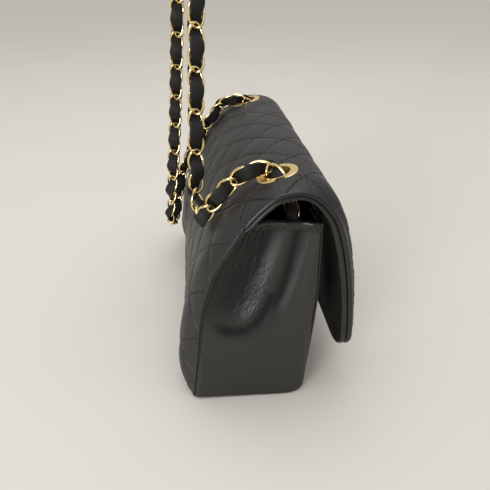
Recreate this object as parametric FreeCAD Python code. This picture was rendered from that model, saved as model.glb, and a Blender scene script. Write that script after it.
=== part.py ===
import FreeCAD
import Part
import math
import os

# Small quilted flap bag on a woven chain strap, in millimetres.
# +Z is up, +Y is the back of the bag, X runs along its width.
# The origin is the middle of the base, on the surface that the bag stands on.

# Driving dimensions
WIDTH = 203.4
BASE_DEPTH = 60.0
PANEL_T = 4.0
LINING_T = 0.8
GUSSET_T = 2.0
WELT_T = 2.0
WELT_PROUD = 1.1
BASE_T = 2.2
BOARD_T = 1.8
HEM_HEIGHT = 7.0
HEM_T = 0.8
FLAP_CORE_T = 1.0
FLAP_LINING_T = 1.8
FLAP_CORNER_R = 8.5
FLAP_EDGE = 7.0
FOLD_GAP = 0.4
POCKET_WIDTH = 120.0
BASE_MARGIN = 0.4
BOARD_MARGIN = 2.2
LAYER_GAP = 0.1

CUT_REACH = 100.0

# Outside of the back, crown and flap at mid width, as (y, z) points joined by tangent arcs
BACK_HEADING = 72.3
BACK_POINTS = [(30.0, 0.0), (33.9, 25.0), (21.2, 81.0), (6.2, 104.6), (-9.5, 117.4), (-29.5, 121.6)]
FLAP_POINTS = [(-43.8, 110.2), (-54.0, 30.0)]
# Outside of the front panel, from the base up
FRONT_HEADING = 117.0
FRONT_POINTS = [(-30.0, 0.0), (-40.8, 50.0), (-38.0, 96.0)]
GUSSET_TOP_MIDDLE = (-14.0, 103.6)

# Quilting: sewn lines that cross into diamonds, with padding between them
QUILT = 30.0
QUILT_RISE = 1.2
QUILT_SINK = 0.4
QUILT_FADE = 9.0
END_DROP = 3.0
END_REACH = 14.0
END_COLUMN = 4.5
TIGHT_R = 25.0
BLOCK_DEPTH = 8.0
BLOCK_MARGIN = 1.0

# Eyelets in the crown
EYELET_X = 79.0
EYELET_Y = -16.1
EYELET_R = 10.5
EYELET_BORE_R = 6.8
EYELET_WALL = 0.7
EYELET_FLANGE_T = 1.2
EYELET_SEAT = 1.3
EYELET_RIM_R = 0.8
WASHER_T = 0.8

# Turn lock, on an axis along Y
LOCK_Z = 47.0
LOCK_SEAT = 0.6
LOCK_BASE_SIZE = (22.0, 26.0, 1.6)
LOCK_COLLAR_R = 5.0
LOCK_COLLAR_T = 1.4
SPINDLE_R = 2.0
SPINDLE_FIT = 0.1
BUSH_WALL = 1.0
LOCK_WASHER_R = 8.0
LOCK_BASE_CORNER_R = 3.0
KNOB_LENGTH = 13.0
KNOB_WIDTH = 5.0
KNOB_T = 4.0
KNOB_GAP = 1.0
KNOB_ROUNDING = 1.4
SLOT_WIDTH = 7.5
SLOT_LENGTH = 21.0
SLOT_DROP = 2.8
PLATE_SIZE = (24.0, 34.0)
PLATE_CORNER_R = 5.0
PLATE_T = 1.5
PLATE_EDGE_R = 0.5
SLOT_MARGIN = 1.0
BACKPLATE_T = 0.8
RIVET_R = 1.2
RIVET_HEAD_R = 2.2
RIVET_HEAD_T = 0.7
RIVET_FOOT_T = 0.4
RIVET_SPREAD = (9.0, 14.0)

# Strap: twisted wire links with a leather lace woven through them
PITCH = 10.2
WIRE_R = 0.75
LINK_HALF_WIDTH = 3.75
LINK_SLACK = 0.9
RAIL_SLOPE = 24.0
TIP_TWIST = 48.0
LACE_WIDTH = 4.1
LACE_T = 0.85
LACE_WAVE = 3.25
TRAIL_STEP = 0.25
BEND_SHARE = 0.45
ANCHOR_RING_R = 4.5
ANCHOR_RING_WIRE = 0.8
ROLL_LINKS = 3
LEFT_PIVOT_ROLL = 10.0
RIGHT_PIVOT_ROLL = 28.0
LEFT_STRAND_ROLL = -50.0
RIGHT_STRAND_ROLL = -26.0
TURN_LINKS = 5
TAB_T = 1.6
TAB_WIDTH = 4.6
TAB_LENGTH = 28.0
TAB_ROLL_R = 3.5
TAB_BORE_R = 2.0
RING_PLAY = 0.15

# Route of the strap from the left anchor, out of the left eyelet, round the loop and back
STRAP_ROUTE = [
    (-89.0, -27.0, 88.0), (-81.5, -23.5, 105.0), (-79.0, -16.7, 119.8),
    (-79.0, -8.4, 125.1), (-79.0, 0.1, 123.2), (-79.0, 7.6, 113.8), (-78.5, 13.0, 104.5),
    (-76.0, 18.0, 96.5), (-70.0, 21.0, 91.5), (-61.0, 22.7, 92.5), (-55.5, 23.5, 101.0),
    (-54.0, 23.2, 112.5), (-52.0, 22.5, 130.0), (-46.0, 21.2, 165.0), (-42.0, 20.0, 195.0),
    (-39.5, 19.6, 216.0), (-31.0, 20.8, 234.0), (-14.0, 24.5, 241.0), (2.5, 28.2, 233.0),
    (11.0, 30.6, 216.0), (22.0, 33.0, 192.0), (33.0, 36.0, 150.0), (43.0, 39.5, 105.0),
    (47.5, 42.5, 70.0), (48.8, 43.6, 50.0), (49.3, 44.0, 38.0), (56.0, 43.2, 31.0),
    (66.0, 41.5, 31.0), (72.5, 39.3, 38.5), (73.5, 37.6, 50.0), (74.5, 34.0, 65.1),
    (75.5, 28.0, 80.3), (77.0, 20.8, 94.3), (78.0, 14.2, 104.2), (79.0, 7.6, 113.8),
    (79.0, 0.1, 123.4), (79.0, -8.4, 125.5), (79.0, -16.7, 119.8), (81.5, -23.5, 105.0),
    (90.3, -27.6, 85.1),
]
LEFT_LOW_POINT = (-65.5, 21.8, 92.0)
RIGHT_LOW_POINT = (55.5, 43.2, 32.0)


def vec(x, y, z):
    return FreeCAD.Vector(x, y, z)


def save(shape, name):
    shape.exportStep("parts/%s.step" % name)
    print("%s: %d solids, %.0f mm3, valid %s" % (name, len(shape.Solids), shape.Volume, shape.isValid()))


# Profiles in the plane of the end walls
def profile(points, heading):
    """Nodes (y, z, heading) of tangent arcs that start along heading and pass through the points."""
    nodes = [(points[0][0], points[0][1], heading)]
    for y, z in points[1:]:
        from_y, from_z, from_heading = nodes[-1]
        chord = math.degrees(math.atan2(z - from_z, y - from_y))
        turn = (chord - from_heading + 180.0) % 360.0 - 180.0
        nodes.append((y, z, from_heading + 2.0 * turn))
    return nodes


def beside(node, offset):
    """Point at a distance to the left of a profile's node."""
    y, z, heading = node
    return (y - offset * math.sin(math.radians(heading)), z + offset * math.cos(math.radians(heading)))


def bulge(start, end):
    """Centre and radius of the arc between two nodes of a profile."""
    half_turn = math.radians(end[2] - start[2]) / 2.0
    radius = math.hypot(end[0] - start[0], end[1] - start[1]) / (2.0 * math.sin(half_turn))
    return beside(start, radius), abs(radius)


def forward_face(start, end, z):
    """Y at a height on an arc that bulges to the front."""
    (centre_y, centre_z), radius = bulge(start, end)
    return centre_y - math.sqrt(radius ** 2 - (z - centre_z) ** 2)


def profile_stations(nodes):
    """Distances along a profile at its nodes."""
    found = [0.0]
    for start, end in zip(nodes, nodes[1:]):
        found.append(found[-1] + bulge(start, end)[1] * abs(math.radians(end[2] - start[2])))
    return found


def along_profile(nodes, station, offset):
    """Point at a distance along a profile and to its left, on the end arcs continued past the ends."""
    marks = profile_stations(nodes)
    k = max([i for i in range(len(nodes) - 1) if marks[i] <= station] or [0])
    start, end = nodes[k], nodes[k + 1]
    turn = (end[2] - start[2]) * (station - marks[k]) / (marks[k + 1] - marks[k])
    (centre_y, centre_z), _ = bulge(start, end)
    y, z = start[0] - centre_y, start[1] - centre_z
    cosine, sine = math.cos(math.radians(turn)), math.sin(math.radians(turn))
    node = (centre_y + y * cosine - z * sine, centre_z + y * sine + z * cosine, start[2] + turn)
    return beside(node, offset)


def profile_edges(nodes, offset, x):
    edges = []
    for start, end in zip(nodes, nodes[1:]):
        y0, z0 = beside(start, offset)
        y1, z1 = beside(end, offset)
        half_turn = math.radians(end[2] - start[2]) / 2.0
        chord_angle = math.radians(start[2]) + half_turn
        rise = math.hypot(y1 - y0, z1 - z0) / 2.0 * math.tan(half_turn / 2.0)
        middle = vec(x, (y0 + y1) / 2.0 + rise * math.sin(chord_angle),
                     (z0 + z1) / 2.0 - rise * math.cos(chord_angle))
        edges.append(Part.Arc(vec(x, y0, z0), middle, vec(x, y1, z1)).toShape())
    return edges


def line(a, b, x):
    return Part.makeLine(vec(x, a[0], a[1]), vec(x, b[0], b[1]))


def plate(edges, x0, x1):
    wire = Part.Wire(Part.__sortEdges__(edges))
    return Part.Face(wire).extrude(vec(x1 - x0, 0, 0))


def band(nodes, near, far, x0, x1):
    """Layer between two distances from a profile, extruded along X."""
    edges = profile_edges(nodes, near, x0) + profile_edges(nodes, far, x0)
    edges.append(line(beside(nodes[0], near), beside(nodes[0], far), x0))
    edges.append(line(beside(nodes[-1], near), beside(nodes[-1], far), x0))
    return plate(edges, x0, x1)


def faceted_solid(vertices, faces):
    """Closed solid of flat triangles."""
    shell = Part.Shape()
    shell.makeShapeFromMesh((vertices, faces), 0.001, True)
    solid = Part.Solid(Part.Shell(shell.Faces))
    if solid.Volume < 0.0:
        solid.reverse()
    return solid


def rounded_slab(half_width, bottom, top, radius, y0, y1):
    """Upright slab along Y whose two lower corners are rounded."""
    slab = Part.makeBox(2.0 * half_width, y1 - y0, top - bottom, vec(-half_width, y0, bottom))
    corners = [e for e in slab.Edges if abs(e.CenterOfMass.z - bottom) < 0.01
               and abs(abs(e.CenterOfMass.x) - half_width) < 0.01]
    return slab.makeFillet(radius, corners)


def post(radius, y0, y1, x, z):
    """Round post along Y."""
    return Part.makeCylinder(radius, y1 - y0, vec(x, y0, z), vec(0, 1, 0))


def stadium(width, length, y0, y1, centre_z):
    """Upright slot shape along Y."""
    radius = width / 2.0
    reach = length / 2.0 - radius
    bar = Part.makeBox(width, y1 - y0, 2.0 * reach, vec(-radius, y0, centre_z - reach))
    ends = [post(radius, y0, y1, 0.0, centre_z + s * reach) for s in (-1, 1)]
    return bar.multiFuse(ends).removeSplitter()


def rounded_plate(size, radius, y0, y1, centre_z):
    wide, tall = size
    slab = Part.makeBox(wide, y1 - y0, tall, vec(-wide / 2.0, y0, centre_z - tall / 2.0))
    return slab.makeFillet(radius, [e for e in slab.Edges if abs(e.Length - (y1 - y0)) < 0.01])


BACK = profile(BACK_POINTS, BACK_HEADING)
FOLD = BACK[-1]
FLAP = profile([FOLD[:2]] + FLAP_POINTS, FOLD[2])
FRONT = profile(FRONT_POINTS, FRONT_HEADING)
FOLD_STATION = profile_stations(BACK)[-1]
SHELL_LENGTH = FOLD_STATION + profile_stations(FLAP)[-1]
HALF = WIDTH / 2.0
WALL_X = HALF - WELT_PROUD
INNER_X = WALL_X - GUSSET_T
FLAP_LINING_AT = PANEL_T + FLAP_CORE_T


# Eyelets
def eyelet_seat():
    """Point and outward normal of the crown where an eyelet sits."""
    start, end = BACK[4], BACK[5]
    (centre_y, centre_z), radius = bulge(start, end)
    z = centre_z + math.sqrt(radius ** 2 - (EYELET_Y - centre_y) ** 2)
    return (EYELET_Y, z), ((EYELET_Y - centre_y) / radius, (z - centre_z) / radius)


EYELET_AT, EYELET_AXIS = eyelet_seat()


def along_eyelet(side, height):
    """Point on the axis of an eyelet, at a height over the crown."""
    return vec(side * EYELET_X, *EYELET_AT) + vec(0, *EYELET_AXIS) * height


def eyelet_disc(side, radius, low, high):
    return Part.makeCylinder(radius, high - low, along_eyelet(side, low), vec(0, *EYELET_AXIS))


def eyelet_hole(side, radius):
    return eyelet_disc(side, radius, -EYELET_R, EYELET_R)


def eyelet(side):
    """Flange with a rounded rim and the barrel that goes down through the leather."""
    flange = eyelet_disc(side, EYELET_R, -EYELET_SEAT, EYELET_FLANGE_T - EYELET_SEAT)
    top = along_eyelet(side, EYELET_FLANGE_T - EYELET_SEAT)
    rim = [e for e in flange.Edges if e.BoundBox.Center.sub(top).Length < EYELET_FLANGE_T / 2.0]
    flange = flange.makeFillet(EYELET_RIM_R, [e for e in rim if len(e.Vertexes) == 1])
    barrel = eyelet_disc(side, EYELET_BORE_R + EYELET_WALL, -eyelet_depth() - WASHER_T, 0.0)
    body = flange.fuse(barrel)
    return body.cut(eyelet_hole(side, EYELET_BORE_R)).removeSplitter()


def eyelet_depth():
    """Depth below the crown at which the washer lies clear of the curved lining."""
    return PANEL_T + LINING_T + LAYER_GAP


def eyelet_washer(side):
    ring = eyelet_disc(side, EYELET_R, -eyelet_depth() - WASHER_T, -eyelet_depth())
    return ring.cut(eyelet_hole(side, EYELET_BORE_R + EYELET_WALL))


# Quilting
def quilt_height(x, station):
    """Height over the plain shell: sunk on the sewn lines, risen in the diamonds, drawn in at the edges."""
    gaps = [abs(place - round(place)) for place in ((x + station) / QUILT, (x - station) / QUILT)]
    rise = 2.0 * (QUILT_RISE + QUILT_SINK) * min(gaps) - QUILT_SINK
    from_edge = min(station, abs(station - FOLD_STATION), SHELL_LENGTH - station)
    spread = max(0.0, min(1.0, from_edge / QUILT_FADE))
    drawn = max(0.0, min(1.0, 1.0 - (HALF - abs(x)) / END_REACH))
    return rise * spread * (1.0 - drawn) - END_DROP * drawn ** 2


def quilt_rows(nodes, before):
    """Distances along a profile at which the quilted block has corners, closer on its tight arcs."""
    step = QUILT / 2.0
    marks = profile_stations(nodes)
    rows = [-BLOCK_MARGIN, marks[-1] + BLOCK_MARGIN]
    rows += [k * step - before for k in range(int(SHELL_LENGTH / step) + 1)]
    for (start, end), low, high in zip(zip(nodes, nodes[1:]), marks, marks[1:]):
        if bulge(start, end)[1] < TIGHT_R:
            rows += [(k + 0.5) * step - before for k in range(int(SHELL_LENGTH / step) + 1)
                     if low <= (k + 0.5) * step - before <= high]
    return sorted(row for row in rows if -BLOCK_MARGIN <= row <= marks[-1] + BLOCK_MARGIN)


def quilt_columns():
    step = QUILT / 2.0
    reach = int((HALF - END_COLUMN) / step)
    inner = [k * step for k in range(-reach, reach + 1)]
    ends = (HALF - END_COLUMN, HALF + BLOCK_MARGIN)
    return sorted(inner + [x for end in ends for x in (-end, end)])


def quilt_block(nodes, before):
    """Block under the quilted outside of a profile that starts at a distance along the shell."""
    rows, columns = quilt_rows(nodes, before), quilt_columns()
    wide = len(columns)
    heights = [[quilt_height(x, before + row) for x in columns] for row in rows]
    outer = [vec(x, *along_profile(nodes, row, -h)) for row, line_h in zip(rows, heights)
             for x, h in zip(columns, line_h)]
    inner = [vec(x, *along_profile(nodes, row, BLOCK_DEPTH)) for row in rows for x in columns]
    below = len(outer)
    faces = []
    for i in range(len(rows) - 1):
        for j in range(wide - 1):
            a, b = i * wide + j, i * wide + j + 1
            c, d = b + wide, a + wide
            if heights[i][j] + heights[i + 1][j + 1] < heights[i][j + 1] + heights[i + 1][j]:
                faces += [(a, b, c), (a, c, d)]
            else:
                faces += [(a, b, d), (b, c, d)]
            faces += [(a + below, c + below, b + below), (a + below, d + below, c + below)]
    last = (len(rows) - 1) * wide
    rim = list(range(wide)) + [i * wide + wide - 1 for i in range(1, len(rows))]
    rim += [last + j for j in range(wide - 2, -1, -1)] + [i * wide for i in range(len(rows) - 2, 0, -1)]
    for a, b in zip(rim, rim[1:] + rim[:1]):
        faces += [(a, a + below, b), (b, a + below, b + below)]
    return faceted_solid(outer + inner, faces)


def quilted_layer(nodes, before):
    """Panel between the quilted outside and the plain inside of a profile."""
    return band(nodes, -QUILT_RISE - BLOCK_MARGIN, PANEL_T, -HALF, HALF).common(quilt_block(nodes, before))


# Panels of the body
def back_panel():
    panel = quilted_layer(BACK, 0.0)
    for side in (-1, 1):
        panel = panel.cut(eyelet_disc(side, EYELET_R, -EYELET_SEAT, EYELET_R))
        panel = panel.cut(eyelet_disc(side, EYELET_R, -EYELET_R, -eyelet_depth()))
        panel = panel.cut(eyelet_hole(side, EYELET_BORE_R + EYELET_WALL))
    return panel


def lock_seat_y():
    """Y of the lock's flat seat, cut into the curved front panel."""
    return FRONT[1][0] + LOCK_SEAT


def lock_inside_y():
    """Y behind the front lining, clear of its curve over the lock's washer."""
    lowest = forward_face(FRONT[0], FRONT[1], LOCK_Z - LOCK_WASHER_R)
    highest = forward_face(FRONT[1], FRONT[2], LOCK_Z + LOCK_WASHER_R)
    return max(lowest, highest) + PANEL_T + LINING_T + 2.0 * LAYER_GAP


def front_panel():
    panel = band(FRONT, 0.0, -PANEL_T, -HALF, HALF)
    seat = rounded_plate(LOCK_BASE_SIZE[:2], LOCK_BASE_CORNER_R, -CUT_REACH, lock_seat_y(), LOCK_Z)
    return panel.cut(seat).cut(lock_bore(SPINDLE_R + BUSH_WALL))


def base_panel():
    half_depth = BASE_DEPTH / 2.0 - PANEL_T - BASE_MARGIN
    return Part.makeBox(2 * INNER_X, 2 * half_depth, BASE_T, vec(-INNER_X, -half_depth, 0))


def base_board():
    half_depth = BASE_DEPTH / 2.0 - PANEL_T - BOARD_MARGIN
    half_length = INNER_X - BOARD_MARGIN
    return Part.makeBox(2 * half_length, 2 * half_depth, BOARD_T, vec(-half_length, -half_depth, BASE_T))


def end_wall(inset, x0, x1):
    """Slice of the end wall between the panels, inset from them, with a bowed top edge."""
    back = BACK[:4]
    edges = profile_edges(back, inset, x0) + profile_edges(FRONT, -inset, x0)
    edges.append(line(beside(back[0], inset), beside(FRONT[0], -inset), x0))
    edges.append(wall_top(inset, 0.0, x0))
    return plate(edges, x0, x1)


def wall_top(inset, drop, x):
    """Top edge of the end wall, lowered by drop."""
    back = beside(BACK[3], inset)
    front = beside(FRONT[-1], -inset)
    lowered = [vec(x, y, z - drop) for y, z in (back, GUSSET_TOP_MIDDLE, front)]
    return Part.Arc(*lowered).toShape()


def below_hem(inset, x0, x1):
    """All that lies under the hem of an end wall."""
    top = wall_top(inset, HEM_HEIGHT, x0)
    ends = [(v.Point.y, v.Point.z) for v in top.Vertexes]
    back, front = max(ends), min(ends)
    far = CUT_REACH
    corners = [back, (far, back[1]), (far, -far), (-far, -far), (-far, front[1]), front]
    return plate([top] + [line(a, b, x0) for a, b in zip(corners, corners[1:])], x0, x1)


def sided(shape, side):
    """The left wall's piece, or its mirror image for the right wall."""
    return shape if side < 0 else shape.mirror(vec(0, 0, 0), vec(1, 0, 0))


def gusset(side):
    return sided(end_wall(PANEL_T, -WALL_X, -INNER_X), side)


def gusset_hem(side):
    inset = PANEL_T + WELT_T
    outer_x = -WALL_X - HEM_T
    strip = end_wall(inset, outer_x, -WALL_X).cut(below_hem(inset, outer_x, -WALL_X))
    return sided(strip, side)


def seam_welt(side):
    """Welt round the end wall: its two sides and the bottom."""
    inner = end_wall(PANEL_T + WELT_T, -HALF, -WALL_X)
    inner = inner.translated(vec(0, 0, WELT_T)).fuse(inner)
    return sided(end_wall(PANEL_T, -HALF, -WALL_X).cut(inner), side)


def body_lining():
    floor = BASE_T + BOARD_T
    at, to = PANEL_T, PANEL_T + LINING_T
    front = band(FRONT, -at, -to, -INNER_X, INNER_X)
    back = band(BACK, at, to, -INNER_X, INNER_X)
    half_depth = BASE_DEPTH / 2.0 - PANEL_T
    bottom = Part.makeBox(2 * INNER_X, 2 * half_depth, LINING_T, vec(-INNER_X, -half_depth, floor))
    ends = [end_wall(at, x, x + LINING_T) for x in (-INNER_X, INNER_X - LINING_T)]
    shell = front.multiFuse([back, bottom] + ends)
    shell = shell.common(Part.makeBox(WIDTH, 2 * CUT_REACH, 2 * CUT_REACH, vec(-HALF, -CUT_REACH, floor)))
    for side in (-1, 1):
        shell = shell.cut(eyelet_hole(side, EYELET_BORE_R + EYELET_WALL))
        shell = shell.cut(eyelet_disc(side, EYELET_R, -EYELET_R, -eyelet_depth()))
    return shell.cut(lock_bore(SPINDLE_R + BUSH_WALL)).removeSplitter()


def inner_pocket():
    """Slip pocket on the back lining."""
    depth = PANEL_T + LINING_T
    return band(BACK[1:3], depth, depth + LINING_T, -POCKET_WIDTH / 2.0, POCKET_WIDTH / 2.0)


# Flap
def flap_cover():
    face = flap_lock_face()
    seat = rounded_plate(PLATE_SIZE, PLATE_CORNER_R, -CUT_REACH, face, LOCK_Z - SLOT_DROP)
    return flap_shape(quilted_layer(FLAP, FOLD_STATION)).cut(seat)


def flap_layer(near, far):
    return flap_shape(band(FLAP, near, far, -HALF, HALF))


def flap_shape(layer):
    """A layer of the flap cut to its outline, with the lock's slot and rivet holes."""
    outline = rounded_slab(HALF, FLAP[-1][1], 2.0 * CUT_REACH, FLAP_CORNER_R, -CUT_REACH, FOLD[0] - FOLD_GAP)
    margin = 2.0 * SLOT_MARGIN
    slot = stadium(SLOT_WIDTH + margin, SLOT_LENGTH + margin, -CUT_REACH, 0.0, LOCK_Z - SLOT_DROP)
    return layer.common(outline).cut(slot).cut(rivet_holes())


def flap_core_slab():
    bottom = FLAP[-1][1] + FLAP_EDGE
    corner = FLAP_CORNER_R - FLAP_EDGE
    return rounded_slab(HALF - FLAP_EDGE, bottom, 2.0 * CUT_REACH, corner, -CUT_REACH, 0.0)


def flap_lock_face():
    """Y of the foremost reach of the flap's cover, where the lock plate lies."""
    (centre_y, _), radius = bulge(FLAP[-2], FLAP[-1])
    return centre_y - radius


def lock_slot():
    return stadium(SLOT_WIDTH, SLOT_LENGTH, -CUT_REACH, 0.0, LOCK_Z - SLOT_DROP)


def flap_lock_plate():
    face = flap_lock_face()
    body = rounded_plate(PLATE_SIZE, PLATE_CORNER_R, face - PLATE_T, face, LOCK_Z - SLOT_DROP)
    front = [e for e in body.Edges if abs(e.CenterOfMass.y - (face - PLATE_T)) < 0.01]
    body = body.makeFillet(PLATE_EDGE_R, front)
    return body.cut(lock_slot()).cut(rivet_holes())


def flap_lock_backplate():
    inside = flap_inside_y()
    body = rounded_plate(PLATE_SIZE, PLATE_CORNER_R, inside, inside + BACKPLATE_T, LOCK_Z - SLOT_DROP)
    return body.cut(lock_slot()).cut(rivet_holes())


def flap_inside_y():
    """Y behind the flap's lining, clear of its curve over the height of the back plate."""
    middle, reach = LOCK_Z - SLOT_DROP, PLATE_SIZE[1] / 2.0
    faces = [forward_face(FLAP[-2], FLAP[-1], z) for z in (middle - reach, middle + reach)]
    return max(faces) + FLAP_LINING_AT + FLAP_LINING_T + LAYER_GAP


def rivet_holes():
    return Part.makeCompound([post(RIVET_R, -CUT_REACH, 0.0, x, z) for x, z in rivet_places()])


def rivet_places():
    wide, tall = RIVET_SPREAD
    middle = LOCK_Z - SLOT_DROP
    return [(sx * wide, middle + sz * tall) for sx in (-1, 1) for sz in (-1, 1)]


def flap_lock_rivets():
    outer = flap_lock_face() - PLATE_T
    inner = flap_inside_y() + BACKPLATE_T
    rivets = []
    for x, z in rivet_places():
        shank = post(RIVET_R, outer, inner, x, z)
        head = post(RIVET_HEAD_R, outer - RIVET_HEAD_T, outer, x, z)
        rim = [e for e in head.Edges if abs(e.BoundBox.Center.y - outer + RIVET_HEAD_T) < 0.01]
        head = head.makeFillet(0.9 * RIVET_HEAD_T, rim)
        foot = post(RIVET_HEAD_R, inner, inner + RIVET_FOOT_T, x, z)
        rivets.append(shank.multiFuse([head, foot]).removeSplitter())
    return Part.makeCompound(rivets)


# Turn lock on the front panel
def lock_base():
    seat = lock_seat_y()
    front = seat - LOCK_BASE_SIZE[2]
    body = rounded_plate(LOCK_BASE_SIZE[:2], LOCK_BASE_CORNER_R, front, seat, LOCK_Z)
    collar = lock_disc(LOCK_COLLAR_R, front - LOCK_COLLAR_T, front)
    bush = lock_disc(SPINDLE_R + BUSH_WALL, seat, lock_inside_y())
    return body.multiFuse([collar, bush]).cut(lock_bore(SPINDLE_R + SPINDLE_FIT)).removeSplitter()


def lock_disc(radius, y0, y1):
    return post(radius, y0, y1, 0.0, LOCK_Z)


def lock_bore(radius):
    return lock_disc(radius, -CUT_REACH, 0.0)


def lock_washer():
    """Plate behind the front lining that the lock's bush is riveted to."""
    inside = lock_inside_y()
    disc = lock_disc(LOCK_WASHER_R, inside, inside + WASHER_T)
    return disc.cut(lock_bore(SPINDLE_R + SPINDLE_FIT))


def lock_knob():
    """Toggle across the end of a spindle, with a keeper head behind the washer."""
    head = flap_lock_face() - PLATE_T - KNOB_GAP
    tail = lock_inside_y() + WASHER_T + SPINDLE_FIT
    spindle = lock_disc(SPINDLE_R, head, tail)
    keeper = lock_disc(SPINDLE_R + BUSH_WALL, tail, tail + WASHER_T)
    toggle = stadium(KNOB_WIDTH, KNOB_LENGTH, head - KNOB_T, head, LOCK_Z)
    face = [e for e in toggle.Edges if abs(e.CenterOfMass.y - (head - KNOB_T)) < 0.01]
    toggle = toggle.makeFillet(KNOB_ROUNDING, face)
    return toggle.multiFuse([spindle, keeper]).removeSplitter()


# Strap
def rounded_route(points):
    """Closely spaced points along straight runs joined by the largest arcs they allow."""
    places = [vec(*p) for p in points]
    trail = [places[0]]
    radii = []
    for before, corner, after in zip(places, places[1:], places[2:]):
        leave = corner.sub(before)
        arrive = after.sub(corner)
        reach = BEND_SHARE * min(leave.Length, arrive.Length)
        leave.normalize()
        arrive.normalize()
        turn = leave.getAngle(arrive)
        radius = reach / math.tan(turn / 2.0)
        radii.append(radius)
        start = corner - leave * reach
        inward = arrive - leave * math.cos(turn)
        inward.normalize()
        centre = start + inward * radius
        add_run(trail, start)
        steps = max(2, int(radius * turn / TRAIL_STEP))
        for k in range(1, steps + 1):
            angle = turn * k / steps
            trail.append(centre - inward * (radius * math.cos(angle)) + leave * (radius * math.sin(angle)))
    add_run(trail, places[-1])
    print("strap radii:", " ".join("%.0f" % r for r in radii))
    return trail


def add_run(trail, end):
    start = trail[-1]
    steps = max(1, int(end.sub(start).Length / TRAIL_STEP))
    for k in range(1, steps + 1):
        trail.append(start + (end - start) * (k / steps))


def junctions(trail):
    """Points one pitch apart in a straight line, along the trail."""
    found = [trail[0]]
    for place in trail[1:]:
        if place.sub(found[-1]).Length >= PITCH:
            step = place.sub(found[-1])
            step.normalize()
            found.append(found[-1] + step * PITCH)
    return found


def tangent_arc(p, heading, q):
    """Wire sector from p along heading to q, and its direction at q."""
    chord = q.sub(p)
    unit = FreeCAD.Vector(chord)
    unit.normalize()
    half = heading.getAngle(unit)
    radius = chord.Length / (2.0 * math.sin(half))
    inward = unit - heading * math.cos(half)
    inward.normalize()
    axis = heading.cross(inward)
    disc = Part.Face(Part.Wire(Part.makeCircle(WIRE_R, p, heading)))
    sector = disc.revolve(p + inward * radius, axis, math.degrees(2.0 * half))
    return sector, unit * (2.0 * math.cos(half)) - heading


def link():
    """One twisted link along X: eight wire arcs, alike under half turns about X, Y and Z."""
    reach = (PITCH + 2.0 * WIRE_R + LINK_SLACK) / 2.0
    rail = vec(0, LINK_HALF_WIDTH, 0)
    tip = vec(reach, 0, 0)
    slope, twist = math.radians(RAIL_SLOPE), math.radians(TIP_TWIST)
    rail_heading = vec(math.cos(slope), 0, math.sin(slope))
    tip_heading = vec(0, -math.cos(twist), -math.sin(twist))
    across = tip.sub(rail)
    a = 2.0 - 2.0 * rail_heading.dot(tip_heading)
    b = 2.0 * across.dot(rail_heading + tip_heading)
    handle = (-b + math.sqrt(b * b + 4.0 * a * across.dot(across))) / (2.0 * a)
    middle = (rail + rail_heading * handle + tip - tip_heading * handle) * 0.5
    shoulder, heading = tangent_arc(rail, rail_heading, middle)
    end, heading = tangent_arc(middle, heading, tip)
    sectors = []
    for axis in (None, vec(1, 0, 0), vec(0, 1, 0), vec(0, 0, 1)):
        for sector in (shoulder, end):
            turned = sector.copy()
            if axis is not None:
                turned.rotate(vec(0, 0, 0), axis, 180)
            sectors.append(turned)
    return sectors[0].multiFuse(sectors[1:]).removeSplitter()


def strap_frames(points):
    """Direction and flat-side normal of every link, carried along without twist."""
    directions = []
    for a, b in zip(points, points[1:]):
        step = b.sub(a)
        step.normalize()
        directions.append(step)
    normal = vec(1, 0, 0)
    normal = normal - directions[0] * normal.dot(directions[0])
    normal.normalize()
    normals = [normal]
    for before, after in zip(directions, directions[1:]):
        normals.append(FreeCAD.Rotation(before, after).multVec(normals[-1]))
    return directions, normals


def inner_roll(index, count):
    """Turn that brings the tips of the strap's end links square to their anchor rings."""
    sign = -1.0 if index < count / 2.0 else 1.0
    from_end = min(index, count - 1 - index)
    return sign * (90.0 - TIP_TWIST) * max(0.0, 1.0 - from_end / ROLL_LINKS)


def loop_roll(index, low_left, low_right):
    """Turn of the loop's links: clear of the drops at the pivots, flat sides to the bag's ends elsewhere."""
    last = low_right - 1
    marks = [(low_left, LEFT_PIVOT_ROLL), (low_left + TURN_LINKS, LEFT_STRAND_ROLL),
             (last - TURN_LINKS, RIGHT_STRAND_ROLL), (last, RIGHT_PIVOT_ROLL)]
    for (a, from_roll), (b, to_roll) in zip(marks, marks[1:]):
        if a <= index <= b:
            return from_roll + (to_roll - from_roll) * (index - a) / (b - a)
    return 0.0


def place_links(points, directions, normals):
    pattern = link()
    print("link: volume %.1f mm3, valid %s" % (pattern.Volume, pattern.isValid()))
    links = []
    for k, direction in enumerate(directions):
        lateral = normals[k].cross(direction)
        turn = FreeCAD.Rotation(direction, lateral, normals[k], "XYZ")
        copy = pattern.copy()
        copy.Placement = FreeCAD.Placement((points[k] + points[k + 1]) * 0.5, turn)
        links.append(copy)
    return links


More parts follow.
